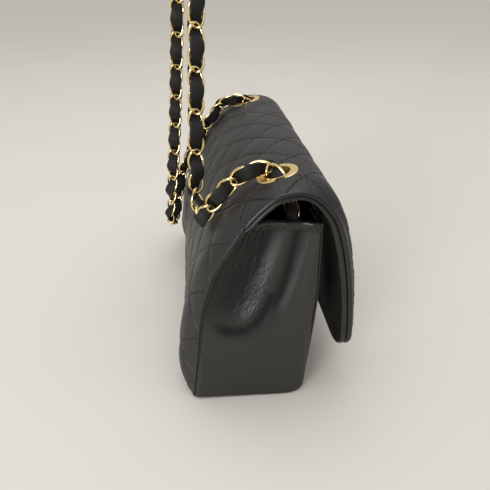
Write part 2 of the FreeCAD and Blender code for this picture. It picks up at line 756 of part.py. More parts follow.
def lace(points, directions, normals, first, last):
    """Flat strip from the middle of one link to the middle of another, over and under the junctions."""
    rows = []
    for k in range(first, last + 1):
        for quarter in range(4):
            if (k == first and quarter < 2) or (k == last and quarter > 2):
                continue
            normal = normals[k]
            direction = directions[k]
            if quarter == 0:
                normal = normals[k - 1] + normals[k]
                normal.normalize()
                direction = directions[k - 1] + directions[k]
                direction.normalize()
            side = 1.0 if k % 2 == 0 else -1.0
            angle = math.pi * quarter / 4.0
            centre = points[k] + directions[k] * (PITCH * quarter / 4.0)
            centre = centre + normal * (side * LACE_WAVE * math.cos(angle))
            slope = -side * LACE_WAVE * math.pi / PITCH * math.sin(angle)
            along = direction + normal * slope
            along.normalize()
            lateral = normal.cross(direction)
            lateral.normalize()
            thick = along.cross(lateral)
            half_wide = lateral * (LACE_WIDTH / 2.0)
            half_thick = thick * (LACE_T / 2.0)
            rows.append([centre + half_wide + half_thick, centre - half_wide + half_thick,
                         centre - half_wide - half_thick, centre + half_wide - half_thick])
    return strip_solid(rows)


def strip_solid(rows):
    """Closed solid of flat triangles through a row of four-cornered sections."""
    vertices = [corner for row in rows for corner in row]
    faces = [(0, 2, 1), (0, 3, 2)]
    for k in range(len(rows) - 1):
        for c in range(4):
            a, b = 4 * k + c, 4 * k + (c + 1) % 4
            faces.append((a, b, b + 4))
            faces.append((a, b + 4, a + 4))
    end = 4 * (len(rows) - 1)
    faces.extend([(end, end + 1, end + 2), (end, end + 2, end + 3)])
    return faceted_solid(vertices, faces)


def nearest(points, place):
    return min(range(len(points)), key=lambda k: points[k].sub(vec(*place)).Length)


def anchor_ring(points, directions, normals, side):
    """Round ring in the strap's end link, square to that link's tip, and the point that the tab holds."""
    at = 0 if side < 0 else len(points) - 1
    k = 0 if side < 0 else len(directions) - 1
    outward = directions[k] * side
    lateral = normals[k].cross(directions[k])
    twist = math.radians(TIP_TWIST)
    axis = lateral * math.cos(twist) + normals[k] * (math.sin(twist) * side)
    seat = (WIRE_R + ANCHOR_RING_WIRE) / 2.0 + RING_PLAY
    centre = points[at] + outward * (ANCHOR_RING_R - seat)
    ring = Part.makeTorus(ANCHOR_RING_R, ANCHOR_RING_WIRE, centre, axis)
    return ring, centre + outward * ANCHOR_RING_R, axis.cross(outward)


def anchor_tab(side, hold, bore_axis):
    """Leather tab on the end wall's lining, rolled round the anchor ring at its upper end."""
    wall = side * (INNER_X - LINING_T)
    face = wall - side * TAB_T
    foot = hold.z - TAB_LENGTH
    corners = [(wall, foot), (wall, hold.z), (hold.x, hold.z + TAB_ROLL_R), (hold.x, hold.z - TAB_ROLL_R),
               (face, hold.z - 3.0 * TAB_ROLL_R), (face, foot), (wall, foot)]
    start = hold.y - TAB_WIDTH / 2.0
    outline = Part.Face(Part.makePolygon([vec(x, start, z) for x, z in corners]))
    strip = outline.extrude(vec(0, TAB_WIDTH, 0))
    roll = Part.makeCylinder(TAB_ROLL_R, TAB_WIDTH, vec(hold.x, start, hold.z), vec(0, 1, 0))
    bore = Part.makeCylinder(TAB_BORE_R, 4.0 * TAB_WIDTH, hold - bore_axis * (2.0 * TAB_WIDTH), bore_axis)
    return strip.fuse(roll).cut(bore).removeSplitter()


def strap():
    points = junctions(rounded_route(STRAP_ROUTE))
    directions, normals = strap_frames(points)
    count = len(directions)
    low_left = nearest(points, LEFT_LOW_POINT)
    low_right = nearest(points, RIGHT_LOW_POINT)
    for k in range(count):
        roll = inner_roll(k, count) + loop_roll(k, low_left, low_right)
        normals[k] = FreeCAD.Rotation(directions[k], roll).multVec(normals[k])
    links = place_links(points, directions, normals)
    save(Part.makeCompound(links[:low_left]), "left_drop_links")
    save(Part.makeCompound(links[low_left:low_right]), "loop_links")
    save(Part.makeCompound(links[low_right:]), "right_drop_links")
    save(lace(points, directions, normals, 1, low_left - 1), "left_drop_lace")
    save(lace(points, directions, normals, low_left, low_right - 1), "loop_lace")
    save(lace(points, directions, normals, low_right, count - 2), "right_drop_lace")
    print("strap: %d links, %.0f mm, swing axis through" % (count, count * PITCH))
    for low in (low_left, low_right):
        print("  %.3f %.3f %.3f" % tuple(points[low]))
    for side, name in ((-1, "left"), (1, "right")):
        ring, hold, bore_axis = anchor_ring(points, directions, normals, side)
        save(ring, "%s_anchor_ring" % name)
        save(anchor_tab(side, hold, bore_axis), "%s_anchor_tab" % name)


def main():
    os.makedirs("parts", exist_ok=True)
    save(back_panel(), "back_panel")
    save(front_panel(), "front_panel")
    save(base_panel(), "base_panel")
    save(base_board(), "base_board")
    save(body_lining(), "body_lining")
    save(inner_pocket(), "inner_pocket")
    for side, name in ((-1, "left"), (1, "right")):
        save(gusset(side), "%s_gusset" % name)
        save(gusset_hem(side), "%s_gusset_hem" % name)
        save(seam_welt(side), "%s_seam_welt" % name)
        save(eyelet(side), "%s_eyelet" % name)
        save(eyelet_washer(side), "%s_eyelet_washer" % name)
    core = flap_core_slab()
    middle = flap_layer(PANEL_T, FLAP_LINING_AT)
    save(flap_cover(), "flap_cover")
    save(middle.common(core), "flap_interlining")
    save(middle.cut(core), "flap_welt")
    save(flap_layer(FLAP_LINING_AT, FLAP_LINING_AT + FLAP_LINING_T), "flap_lining")
    save(flap_lock_plate(), "flap_lock_plate")
    save(flap_lock_backplate(), "flap_lock_backplate")
    save(flap_lock_rivets(), "flap_lock_rivets")
    save(lock_base(), "lock_base")
    save(lock_washer(), "lock_washer")
    save(lock_knob(), "lock_knob")
    strap()


main()
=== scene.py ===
import math

import bmesh
import bpy
import numpy as np
from bpy.props import FloatProperty, FloatVectorProperty, PointerProperty
from mathutils import Matrix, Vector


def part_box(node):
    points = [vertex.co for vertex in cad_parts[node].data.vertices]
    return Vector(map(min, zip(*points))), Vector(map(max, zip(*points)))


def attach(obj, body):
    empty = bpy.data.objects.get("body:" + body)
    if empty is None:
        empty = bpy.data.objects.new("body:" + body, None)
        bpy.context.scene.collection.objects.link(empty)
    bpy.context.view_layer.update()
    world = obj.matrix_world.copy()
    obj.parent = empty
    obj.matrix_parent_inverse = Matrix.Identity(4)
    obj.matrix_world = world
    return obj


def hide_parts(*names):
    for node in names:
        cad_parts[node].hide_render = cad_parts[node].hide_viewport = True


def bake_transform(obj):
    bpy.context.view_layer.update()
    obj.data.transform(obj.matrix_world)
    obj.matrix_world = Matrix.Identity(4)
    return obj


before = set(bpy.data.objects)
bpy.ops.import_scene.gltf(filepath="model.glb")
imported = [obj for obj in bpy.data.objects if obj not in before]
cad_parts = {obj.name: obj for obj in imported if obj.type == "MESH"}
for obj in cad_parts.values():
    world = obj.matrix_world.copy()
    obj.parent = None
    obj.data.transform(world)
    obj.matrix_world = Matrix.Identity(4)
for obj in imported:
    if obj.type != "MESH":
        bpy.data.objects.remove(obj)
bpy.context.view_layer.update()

bl_info = {
    "name": "Chain shoulder bag",
    "version": (1, 0, 0),
    "blender": (4, 5, 0),
    "location": "View3D > Sidebar > Bag",
    "description": "Dresses a quilted flap bag: padded shell, end walls, woven chain strap and gold fittings",
    "category": "Object",
}

# Box of the bare frame, and the places that the pieces take from it
MM = 0.001
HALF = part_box("back_panel")[1].x
WALL_X = -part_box("left_gusset")[0].x
EYELET_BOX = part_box("left_eyelet")
EYELET_X = -(EYELET_BOX[0].x + EYELET_BOX[1].x) / 2
EYELET_Y = -16.1 * MM
EYELET_R = 10.5 * MM
EYELET_HOLE_R = 8.0 * MM
PLATE_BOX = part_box("flap_lock_plate")
PLATE_Z = (PLATE_BOX[0].z + PLATE_BOX[1].z) / 2
LOCK_BASE_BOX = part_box("lock_base")
LOCK_Z = (LOCK_BASE_BOX[0].z + LOCK_BASE_BOX[1].z) / 2

# Outside of the shell at mid width, from base to flap edge, as (y, z) in millimetres joined by tangent arcs
SHELL_HEADING = 72.3
SHELL_POINTS = ((30.0, 0.0), (33.9, 25.0), (21.2, 81.0), (6.2, 104.6), (-9.5, 117.4), (-29.5, 121.6),
                (-43.8, 110.2), (-54.0, 30.0))
FOLD_POINT = 5
# The same line at the two ends of the shell, where it is drawn in, sewn to an end wall up to one of its points
END_POINTS = ((29.5, 0.0), (26.9, 25.4), (24.2, 50.9), (20.8, 65.7), (15.9, 79.7), (2.6, 101.6),
              (-3.0, 108.6), (-9.0, 114.2), (-13.3, 117.0), (-19.5, 118.8), (-25.0, 119.0), (-30.5, 117.3),
              (-36.8, 112.6), (-43.9, 103.5), (-49.3, 88.0), (-53.3, 66.0), (-55.3, 45.0), (-55.6, 28.8))
SEAM_POINT = 5
# The crown lies above this height, and the flap in front of this depth, in metres
CROWN_FROM_Z, FLAP_TO_Y = 0.1, -0.045
# Outside of the front panel at mid width, made in the same way
FRONT_HEADING = 117.0
FRONT_POINTS = ((-30.0, 0.0), (-40.8, 50.0), (-38.0, 96.0))
# Edges of an end wall, as (y, z) in millimetres
WALL_FRONT = ((-26.0, 0.4), (-28.6, 0.8), (-30.4, 2.1), (-31.3, 4.4), (-31.7, 7.5), (-32.5, 16.0),
              (-34.2, 34.5), (-35.3, 49.3), (-36.0, 61.7), (-35.9, 83.2), (-35.6, 101.6))
WALL_TOP = ((1.0, 99.8), (-5.0, 101.8), (-14.0, 101.6), (-25.0, 101.6), (-35.6, 101.6))

# Strap route, in millimetres, from the left anchor round the loop to the right anchor, and its links
STRAP_ROUTE = (
    (-89.0, -27.0, 88.0), (-81.5, -23.5, 105.0), (-79.0, -16.7, 119.8),
    (-79.0, -9.4, 124.2), (-79.0, -1.2, 120.9), (-78.4, 5.4, 116.0), (-76.8, 11.8, 108.6),
    (-74.0, 18.0, 99.5), (-70.5, 21.1, 91.3), (-61.0, 22.7, 92.5), (-55.5, 23.5, 101.0),
    (-54.0, 23.2, 112.5), (-52.0, 22.5, 130.0), (-46.0, 21.2, 165.0), (-42.0, 20.0, 195.0),
    (-39.5, 19.6, 216.0), (-31.0, 20.8, 234.0), (-14.0, 24.5, 241.0), (2.5, 26.4, 233.0),
    (11.0, 28.0, 216.0), (22.0, 30.2, 192.0), (33.0, 33.2, 150.0), (43.0, 36.8, 105.0),
    (47.5, 40.4, 70.0), (48.8, 42.4, 50.0), (49.3, 43.6, 38.0), (56.0, 43.2, 31.0),
    (66.0, 41.5, 31.0), (72.5, 39.3, 38.5), (73.5, 37.6, 50.0), (74.5, 34.0, 65.1),
    (75.3, 28.6, 77.5), (76.3, 22.6, 88.3), (77.4, 16.3, 98.5), (78.4, 10.4, 107.3),
    (79.0, 4.6, 114.8), (79.0, -1.6, 119.9), (79.0, -9.4, 122.4), (79.0, -16.7, 119.8),
    (81.5, -23.5, 105.0), (86.7, -26.4, 92.7),
)
LEFT_PIVOT = np.array((-70.061, 20.702, 92.343)) * MM
RIGHT_PIVOT = np.array((54.191, 43.403, 33.176)) * MM
LEFT_LINKS, LOOP_LINKS, RIGHT_LINKS = 9, 39, 16
ARC_STEPS, SPAN_STEPS = 33, 16


# Lines in the plane of the end walls
def tangent_arcs(points, heading):
    """Line in metres through (y, z) points in mm, along tangent arcs that start at a heading in degrees."""
    line = [np.array(points[0], float)]
    angle = math.radians(heading)
    for start, end in zip(points, points[1:]):
        chord = np.subtract(end, start)
        half_turn = (math.atan2(chord[1], chord[0]) - angle + math.pi) % (2 * math.pi) - math.pi
        for share in np.linspace(0, 1, ARC_STEPS)[1:]:
            bend = half_turn * share
            reach = np.linalg.norm(chord) * math.sin(bend) / math.sin(half_turn)
            line.append(np.add(start, reach * np.array((math.cos(angle + bend), math.sin(angle + bend)))))
        angle += 2 * half_turn
    return np.array(line) * MM


def through(points):
    """Smooth line in metres through points in mm."""
    p = np.array(points, float)
    p = np.vstack([2 * p[0] - p[1], p, 2 * p[-1] - p[-2]])
    t = np.linspace(0, 1, SPAN_STEPS, endpoint=False)[:, None]
    spans = []
    for a, b, c, d in zip(p, p[1:], p[2:], p[3:]):
        spans.append(b + (c - a) * t / 2 + (a - 2.5 * b + 2 * c - d / 2) * t ** 2
                     + (1.5 * b - a / 2 - 1.5 * c + d / 2) * t ** 3)
    return np.vstack(spans + [p[-2:-1]]) * MM


def stations(line):
    """Distance along a line at each of its points."""
    steps = np.linalg.norm(np.diff(line, axis=0), axis=1)
    return np.concatenate([[0.0], np.cumsum(steps)])


def at_share(line, share):
    """Points of a line at shares of its length."""
    along = stations(line)
    return np.stack([np.interp(share * along[-1], along, line[:, k]) for k in range(line.shape[1])], axis=-1)


def smooth(t):
    """0 below 0, 1 above 1, and an even curve between."""
    t = np.clip(t, 0.0, 1.0)
    return t * t * (3 - 2 * t)


def unit(a):
    """Vectors made one long."""
    return a / np.maximum(np.linalg.norm(a, axis=-1, keepdims=True), 1e-12)


def line_distance(points, line):
    """Distance from points to a line, and the share of the line at which it is nearest."""
    best = np.full(points.shape[:-1], np.inf)
    share = np.zeros(points.shape[:-1])
    along = stations(line)
    for k, (a, b) in enumerate(zip(line, line[1:])):
        step = b - a
        t = np.clip(((points - a) @ step) / (step @ step), 0, 1)
        gap = np.linalg.norm(points - a - t[..., None] * step, axis=-1)
        closer = gap < best
        best = np.where(closer, gap, best)
        share = np.where(closer, (along[k] + t * (along[k + 1] - along[k])) / along[-1], share)
    return best, share


SHELL_MID = tangent_arcs(SHELL_POINTS, SHELL_HEADING)
SHELL_END = through(END_POINTS)
SHELL_LENGTH = stations(SHELL_MID)[-1]
FRONT_MID = tangent_arcs(FRONT_POINTS, FRONT_HEADING)
FRONT_LAP = 0.3
FRONT_END = through([(y + FRONT_LAP, z) for y, z in WALL_FRONT])
FRONT_LENGTH = stations(FRONT_MID)[-1]


def shell_station(y=None, z=None):
    """Distance along the shell's middle line at a depth on the crown, or at a height on the flap."""
    along = stations(SHELL_MID)
    if y is not None:
        part = SHELL_MID[:, 1] > CROWN_FROM_Z
        return along[part][np.argmin(np.abs(SHELL_MID[part, 0] - y))]
    part = SHELL_MID[:, 0] < FLAP_TO_Y
    return along[part][np.argmin(np.abs(SHELL_MID[part, 1] - z))]


EYELET_AT = shell_station(y=EYELET_Y)
FOLD_AT = shell_station(y=SHELL_POINTS[FOLD_POINT][0] * MM)
PLATE_AT = shell_station(z=PLATE_Z)
SEAM_AT = stations(through(END_POINTS[:SEAM_POINT + 1]))[-1] / stations(SHELL_END)[-1] * SHELL_LENGTH


class BagSizes(bpy.types.PropertyGroup):
    """Sizes that shape the soft pieces and the strap."""
    quilt: FloatProperty(name="Quilt diamond", description="Corner to corner size of a quilting diamond",
                         default=0.030, unit="LENGTH")
    padding: FloatProperty(name="Padding", description="Height of the padding between quilting lines",
                           default=0.0010, unit="LENGTH")
    puff: FloatProperty(name="Puff", description="Width over which the shell rounds off at its ends",
                        default=0.015, unit="LENGTH")
    corner: FloatProperty(name="Flap corner", description="Radius of the flap's lower corners",
                          default=0.0085, unit="LENGTH")
    stitch: FloatProperty(name="Stitch", description="Length of one stitch", default=0.0026, unit="LENGTH")
    wire: FloatProperty(name="Link wire", description="Radius of the wire of a link",
                        default=0.00075, unit="LENGTH", precision=5)
    lace_width: FloatProperty(name="Lace width", description="Width of the leather lace in the chain",
                              default=0.0058, unit="LENGTH")
    lace_thickness: FloatProperty(name="Lace thickness", description="Thickness of the leather lace",
                                  default=0.0015, unit="LENGTH")


class BagColours(bpy.types.PropertyGroup):
    """Colours of the materials and the stage."""
    leather: FloatVectorProperty(name="Leather", description="Black lambskin", subtype="COLOR", size=4,
                                 default=(0.0115, 0.0112, 0.0104, 1.0))
    # Lining: the real black of the lining leather, deepened further as painted shade so the inside of the bag
    # stays dark
    lining: FloatVectorProperty(name="Lining", description="Smooth leather lining", subtype="COLOR", size=4,
                                default=(0.0050, 0.0049, 0.0048, 1.0))
    lace: FloatVectorProperty(name="Lace", description="Lace woven through the chain", subtype="COLOR", size=4,
                              default=(0.0062, 0.0061, 0.0060, 1.0))
    gold: FloatVectorProperty(name="Gold", description="Pale gold plating", subtype="COLOR", size=4,
                              default=(0.90, 0.70, 0.34, 1.0))
    board: FloatVectorProperty(name="Board", description="Stiffener inside the base", subtype="COLOR", size=4,
                               default=(0.32, 0.29, 0.24, 1.0))
    floor: FloatVectorProperty(name="Floor", description="Plain pale floor", subtype="COLOR", size=4,
                               default=(0.74, 0.71, 0.65, 1.0))
    room: FloatVectorProperty(name="Room", description="Pale walls round the stage", subtype="COLOR", size=4,
                              default=(0.62, 0.60, 0.57, 1.0))
    ceiling: FloatVectorProperty(name="Ceiling", description="Bright ceiling over the stage", subtype="COLOR",
                                 size=4, default=(1.0, 1.0, 1.0, 1.0))
    shade: FloatVectorProperty(name="Shade", description="Dark side of the room", subtype="COLOR", size=4,
                               default=(0.26, 0.25, 0.24, 1.0))


# Materials
SEAM_WIDTH = 0.0013


class Nodes:
    """Short hand for the node tree of one material or world."""

    def __init__(self, owner):
        owner.use_nodes = True
        self.owner = owner
        self.tree = owner.node_tree

    def feed(self, node, inputs):
        """Give inputs of a node a value or a link each."""
        for key, value in inputs.items():
            if isinstance(value, bpy.types.NodeSocket):
                self.tree.links.new(value, node.inputs[key])
            else:
                node.inputs[key].default_value = value

    def add(self, kind, inputs=None, **settings):
        """New node with its settings and inputs."""
        node = self.tree.nodes.new(kind)
        for key, value in settings.items():
            setattr(node, key, value)
        self.feed(node, inputs or {})
        return node

    def finish(self, node, inputs):
        """Feed the last node, and return the material or world."""
        self.feed(self.tree.nodes[node], inputs)
        return self.owner

    def place(self, kind):
        """Texture place of some kind."""
        return self.add("ShaderNodeTexCoord").outputs[kind]

    def share(self, name):
        """Share that the mesh keeps at each of its points."""
        return self.add("ShaderNodeAttribute", attribute_name=name).outputs["Fac"]

    def math(self, operation, a, b):
        return self.add("ShaderNodeMath", {0: a, 1: b}, operation=operation).outputs[0]

    def noise(self, place, scale, detail, **more):
        inputs = {"Vector": place, "Scale": scale, "Detail": detail, **more}
        return self.add("ShaderNodeTexNoise", inputs).outputs["Fac"]

    def bump(self, height, strength, distance, under=None):
        """Normal of a bumpy surface, on top of another one where it is given."""
        inputs = {"Height": height, "Strength": strength, "Distance": distance}
        if under is not None:
            inputs["Normal"] = under
        return self.add("ShaderNodeBump", inputs).outputs["Normal"]

    def between(self, factor, low, high):
        """Factor from 0 to 1 turned into a value between two others."""
        inputs = {"Value": factor, "To Min": low, "To Max": high}
        return self.add("ShaderNodeMapRange", inputs).outputs["Result"]

    def step(self, value, low, high):
        """0 up to a low value, 1 past a high one, and smooth between."""
        inputs = {"Value": value, "From Min": low, "From Max": high}
        return self.add("ShaderNodeMapRange", inputs, interpolation_type="SMOOTHSTEP").outputs["Result"]

    def tint(self, factor, low, high):
        """Colour between two others, each given as a colour or a socket."""
        return self.add("ShaderNodeMix", {0: factor, 6: low, 7: high}, data_type="RGBA").outputs[2]

    def seams(self, place, size):
        """0 on the crossing seams of a diamond quilting of some size, and 1 off them."""
        flat = self.add("ShaderNodeSeparateXYZ", {"Vector": place})
        across, along = flat.outputs["X"], flat.outputs["Y"]
        gaps = [self.math("PINGPONG", self.math(way, across, along), size / 2) for way in ("ADD", "SUBTRACT")]
        return self.step(self.math("MINIMUM", *gaps), 0.0, SEAM_WIDTH)


def shaded(colour, share):
    """Darker or lighter colour."""
    return tuple(share * c for c in colour[:3]) + (1.0,)


def new_nodes(name):
    """Nodes of a new material."""
    return Nodes(bpy.data.materials.new(name))


def leather(name, colour, roughness, grain, depth, creases, quilt=None, crinkled=False):
    """Fine grained leather: pebbled cells, soft creases, slow changes of tone and gloss, seams with painted
    shade in them, and crinkle with painted shade that dims the reflection in the hollows.
    """
    n = new_nodes(name)
    place = n.place("UV")
    cells = n.add("ShaderNodeTexVoronoi", {"Vector": place, "Scale": 1 / grain, "Randomness": 0.9},
                  feature="SMOOTH_F1").outputs["Distance"]
    crease = n.noise(place, scale=0.35 / grain, detail=5.0, Roughness=0.6)
    slow = n.noise(place, scale=55.0, detail=3.0)
    height = n.math("ADD", n.math("MULTIPLY", cells, 1 - creases), n.math("MULTIPLY", crease, creases))
    tone = n.tint(slow, shaded(colour, 0.8), shaded(colour, 1.25))
    surface = {"Roughness": n.between(slow, roughness - 0.07, roughness + 0.07)}
    under = None
    if quilt:
        seam = n.seams(place, quilt)
        under = n.bump(seam, strength=0.8, distance=0.0005)
        # Painted shade: the quilting grooves are darkened to a quarter of the leather's colour.
        tone = n.tint(seam, shaded(colour, 0.25), tone)
    if crinkled:
        drawn = n.add("ShaderNodeMapping", {"Vector": place, "Rotation": (0.0, 0.0, 0.46),
                                            "Scale": (1.0, 3.2, 1.0)}, vector_type="TEXTURE").outputs["Vector"]
        bent = n.noise(drawn, scale=820.0, detail=3.0, Roughness=0.55, Distortion=0.5)
        crinkles = n.math("MULTIPLY", bent, n.share("crinkle"))
        under = n.bump(crinkles, strength=0.8, distance=0.0009)
        # Painted shade: the reflection is dimmed in the hollows, the valley and the groove of an end wall.
        surface["Specular IOR Level"] = n.between(n.share("hollow_shade"), 0.6, 0.12)
    surface["Base Color"] = tone
    surface["Normal"] = n.bump(height, strength=0.5, distance=depth, under=under)
    return n.finish("Principled BSDF", surface)


def lace_leather(name, colour):
    """Cut leather lace with fine ribs across it."""
    n = new_nodes(name)
    place = n.place("UV")
    ribs = n.add("ShaderNodeTexWave", {"Vector": place, "Scale": 260.0, "Distortion": 1.2, "Detail": 2.0},
                 bands_direction="X").outputs["Fac"]
    slow = n.noise(place, scale=240.0, detail=4.0)
    height = n.math("ADD", n.math("MULTIPLY", ribs, 0.7), slow)
    return n.finish("Principled BSDF", {
        "Base Color": n.tint(ribs, shaded(colour, 0.7), shaded(colour, 1.5)),
        "Roughness": n.between(slow, 0.52, 0.74),
        "Specular IOR Level": 0.35,
        "Normal": n.bump(height, strength=0.55, distance=0.00016),
    })


def plated(name, colour, roughness):
    """Plating with faint drawing marks and a slow change of gloss."""
    n = new_nodes(name)
    place = n.place("Object")
    marks = n.noise(place, scale=900.0, detail=3.0)
    slow = n.noise(place, scale=60.0, detail=2.0)
    return n.finish("Principled BSDF", {
        "Base Color": n.tint(slow, shaded(colour, 0.9), shaded(colour, 1.08)),
        "Roughness": n.between(slow, roughness - 0.06, roughness + 0.08),
        "Metallic": 1.0,
        "Normal": n.bump(marks, strength=0.12, distance=0.00005),
    })


def felted(name, colour):
    """Felted board or sewing thread: short fibres and a dry surface."""
    n = new_nodes(name)
    fibres = n.noise(n.place("Object"), scale=1800.0, detail=4.0)
    return n.finish("Principled BSDF", {
        "Base Color": n.tint(fibres, shaded(colour, 0.7), shaded(colour, 1.2)),
        "Roughness": n.between(fibres, 0.7, 0.9),
        "Normal": n.bump(fibres, strength=0.4, distance=0.0001),
    })


def painted(name, colour):
    """Matt surface of the stage with a faint mottle."""
    n = new_nodes(name)
    mottle = n.noise(n.place("Object"), scale=7.0, detail=2.0)
    return n.finish("Principled BSDF", {
        "Base Color": n.tint(mottle, shaded(colour, 0.97), shaded(colour, 1.02)),
        "Roughness": 0.85,
        "Specular IOR Level": 0.15,
    })


def material(name):
    """One material of the bag, made the first time that a piece asks for it."""
    if name in bpy.data.materials:
        return bpy.data.materials[name]
    c = bpy.context.scene.bag_colours
    quilt = bpy.context.scene.bag_sizes.quilt
    supple = {"roughness": 0.40, "grain": 0.0008, "depth": 0.00010, "creases": 0.7}
    makers = {
        "quilted_lambskin": lambda: leather(name, c.leather, roughness=0.46, grain=0.0009, depth=0.00012,
                                            creases=0.6, quilt=quilt),
        "plain_lambskin": lambda: leather(name, c.leather, **supple),
        "wall_lambskin": lambda: leather(name, c.leather, **supple, crinkled=True),
        "edge_lambskin": lambda: leather(name, shaded(c.leather, 0.85), roughness=0.32, grain=0.0008,
                                         depth=0.00006, creases=0.7),
        "lining_leather": lambda: leather(name, c.lining, roughness=0.42, grain=0.0007, depth=0.00005,
                                          creases=0.8),
        "strap_lace": lambda: lace_leather(name, c.lace),
        "polished_gold": lambda: plated(name, c.gold, roughness=0.16),
        "brushed_gold": lambda: plated(name, c.gold, roughness=0.34),
        "stiffener_board": lambda: felted(name, c.board),
        "black_thread": lambda: felted(name, shaded(c.lace, 1.1)),
        "floor_paint": lambda: painted(name, c.floor),
    }
    return makers[name]()


# Meshes
def new_piece(name, points, faces, materials, slots=None, uv=None):
    """Smooth mesh object in the frame, with its normals pointing out."""
    mesh = bpy.data.meshes.new(name)
    mesh.from_pydata(np.asarray(points).tolist(), [], faces)
    for entry in materials:
        mesh.materials.append(material(entry))
    if slots is not None:
        mesh.polygons.foreach_set("material_index", np.asarray(slots, np.int32))
    mesh.polygons.foreach_set("use_smooth", np.ones(len(mesh.polygons), bool))
    if uv is not None:
        corners = np.empty(len(mesh.loops), np.int32)
        mesh.loops.foreach_get("vertex_index", corners)
        mesh.uv_layers.new(name="UVMap").data.foreach_set("uv", np.asarray(uv)[corners].ravel())
    shape = bmesh.new()
    shape.from_mesh(mesh)
    bmesh.ops.recalc_face_normals(shape, faces=shape.faces)
    shape.to_mesh(mesh)
    shape.free()
    piece = bpy.data.objects.new(name, mesh)
    bpy.context.scene.collection.objects.link(piece)
    return piece


def grid_faces(rows, cols, closed=False):
    """Quads of a grid of points, closed into a tube across its columns if wanted."""
    faces = []
    for i in range(rows - 1):
        for j in range(cols if closed else cols - 1):
            a, b = i * cols + j, i * cols + (j + 1) % cols
            faces.append((a, b, b + cols, a + cols))
    return faces


def tube_faces(rows, sides):
    """Quads of a tube of rings of points, and a face over each of its ends."""
    last = (rows - 1) * sides
    return grid_faces(rows, sides, closed=True) + [list(range(sides))[::-1], list(range(last, last + sides))]


# Rolled edge of a panel: radius of its two rolls as a share of its thickness, their angles and the dip between
RIM_ROLL = 0.27
RIM_ANGLES = ((65, 35, 5, -25, -50), (50, 25, -5, -35, -65))
RIM_DIP = (-0.5, -0.04)
RIM_TEXTURE_STEP = 0.0005
# Material slots of a panel
OUTSIDE, EDGE, INSIDE = range(3)


def rim_profile():
    """Steps of the rim from outside to inside, as shares of its thickness along the normal and outwards."""
    rolls = []
    for middle, angles in zip((-RIM_ROLL, RIM_ROLL - 1), RIM_ANGLES):
        rolls.append([(middle + RIM_ROLL * math.sin(a), RIM_ROLL * math.cos(a)) for a in np.radians(angles)])
    return rolls[0] + [RIM_DIP] + rolls[1]


def padded_panel(name, outer, inner, uv, materials, cut=None, rim=()):
    """Closed panel between two grids of points, with the steps of a rim round it.

    cut marks the quads that are left open, and its edges get walls."""
    rows, cols = outer.shape[:2]
    count = rows * cols
    index = np.arange(count).reshape(rows, cols)
    kept = np.ones((rows - 1, cols - 1), bool) if cut is None else ~cut
    faces, slots = [], []
    for i, j in np.argwhere(kept):
        quad = (index[i, j], index[i, j + 1], index[i + 1, j + 1], index[i + 1, j])
        faces.append([int(q) for q in quad])
        faces.append([int(q) + count for q in reversed(quad)])
        slots += [OUTSIDE, INSIDE]
    for i, j in np.argwhere(~kept):
        sides = (((i - 1, j), (i, j), (i, j + 1)), ((i + 1, j), (i + 1, j), (i + 1, j + 1)),
                 ((i, j - 1), (i, j), (i + 1, j)), ((i, j + 1), (i, j + 1), (i + 1, j + 1)))
        for neighbour, a, b in sides:
            if kept[neighbour]:
                a, b = int(index[a]), int(index[b])
                faces.append([a, b, b + count, a + count])
                slots.append(EDGE)

    def add_band(before, after):
        for quad in zip(before, np.roll(before, -1), np.roll(after, -1), after):
            faces.append([int(q) for q in quad])
            slots.append(EDGE)

    ring = np.concatenate([index[:-1, 0], index[-1, :-1], index[:0:-1, -1], index[0, :0:-1]])
    flat_outer, flat_inner, flat_uv = outer.reshape(-1, 3), inner.reshape(-1, 3), uv.reshape(-1, 2)
    edge = flat_outer[ring]
    through_panel = edge - flat_inner[ring]
    thick, normal = np.linalg.norm(through_panel, axis=1, keepdims=True), unit(through_panel)
    out = unit(np.cross(unit(np.roll(edge, -1, axis=0) - np.roll(edge, 1, axis=0)), normal))
    if np.sum(out * (edge - flat_outer.mean(axis=0))) < 0:
        out = -out
    points, places = [flat_outer, flat_inner], [flat_uv, flat_uv]
    before, start = ring, 2 * count
    for k, (along, outwards) in enumerate(rim):
        points.append(edge + normal * along * thick + out * outwards * thick)
        places.append(flat_uv[ring] + (k + 1) * RIM_TEXTURE_STEP)
        after = start + np.arange(len(ring))
        add_band(before, after)
        before, start = after, start + len(ring)
    add_band(before, ring + count)
    return new_piece(name, np.vstack(points), faces, materials, slots, np.vstack(places))


# A direction that no tube starts along
TUBE_SIDE = (0.31, 0.52, 0.80)


def tube(path, radii, sides=10):
    """Points and faces of a capped tube along a path, with a radius at each point."""
    path = np.asarray(path)
    tangents = unit(np.gradient(path, axis=0))
    normal = unit(np.cross(tangents[0], TUBE_SIDE))
    angles = np.linspace(0, 2 * math.pi, sides, endpoint=False)
    points = []
    for place, tangent, radius in zip(path, tangents, np.broadcast_to(radii, len(path))):
        normal = unit(normal - tangent * (normal @ tangent))
        other = np.cross(tangent, normal)
        points.append(place + radius * (np.outer(np.cos(angles), normal) + np.outer(np.sin(angles), other)))
    return np.vstack(points), tube_faces(len(path), sides)


def merged(parts):
    """Points and faces of several (points, faces) pairs as one."""
    points, faces, start = [], [], 0
    for some, quads in parts:
        points.append(some)
        faces += [[v + start for v in quad] for quad in quads]
        start += len(some)
    return np.vstack(points), faces


# A stitch along its length: depth and thickness in thread radii, and the pitch in stitch lengths
STITCH_DIP = np.array((-1.1, -0.1, 0.25, 0.25, -0.1, -1.1))
STITCH_THICK = np.array((0.35, 0.85, 1.0, 1.0, 0.85, 0.35))
STITCH_SIDES = 6
STITCH_PITCH = 1.45


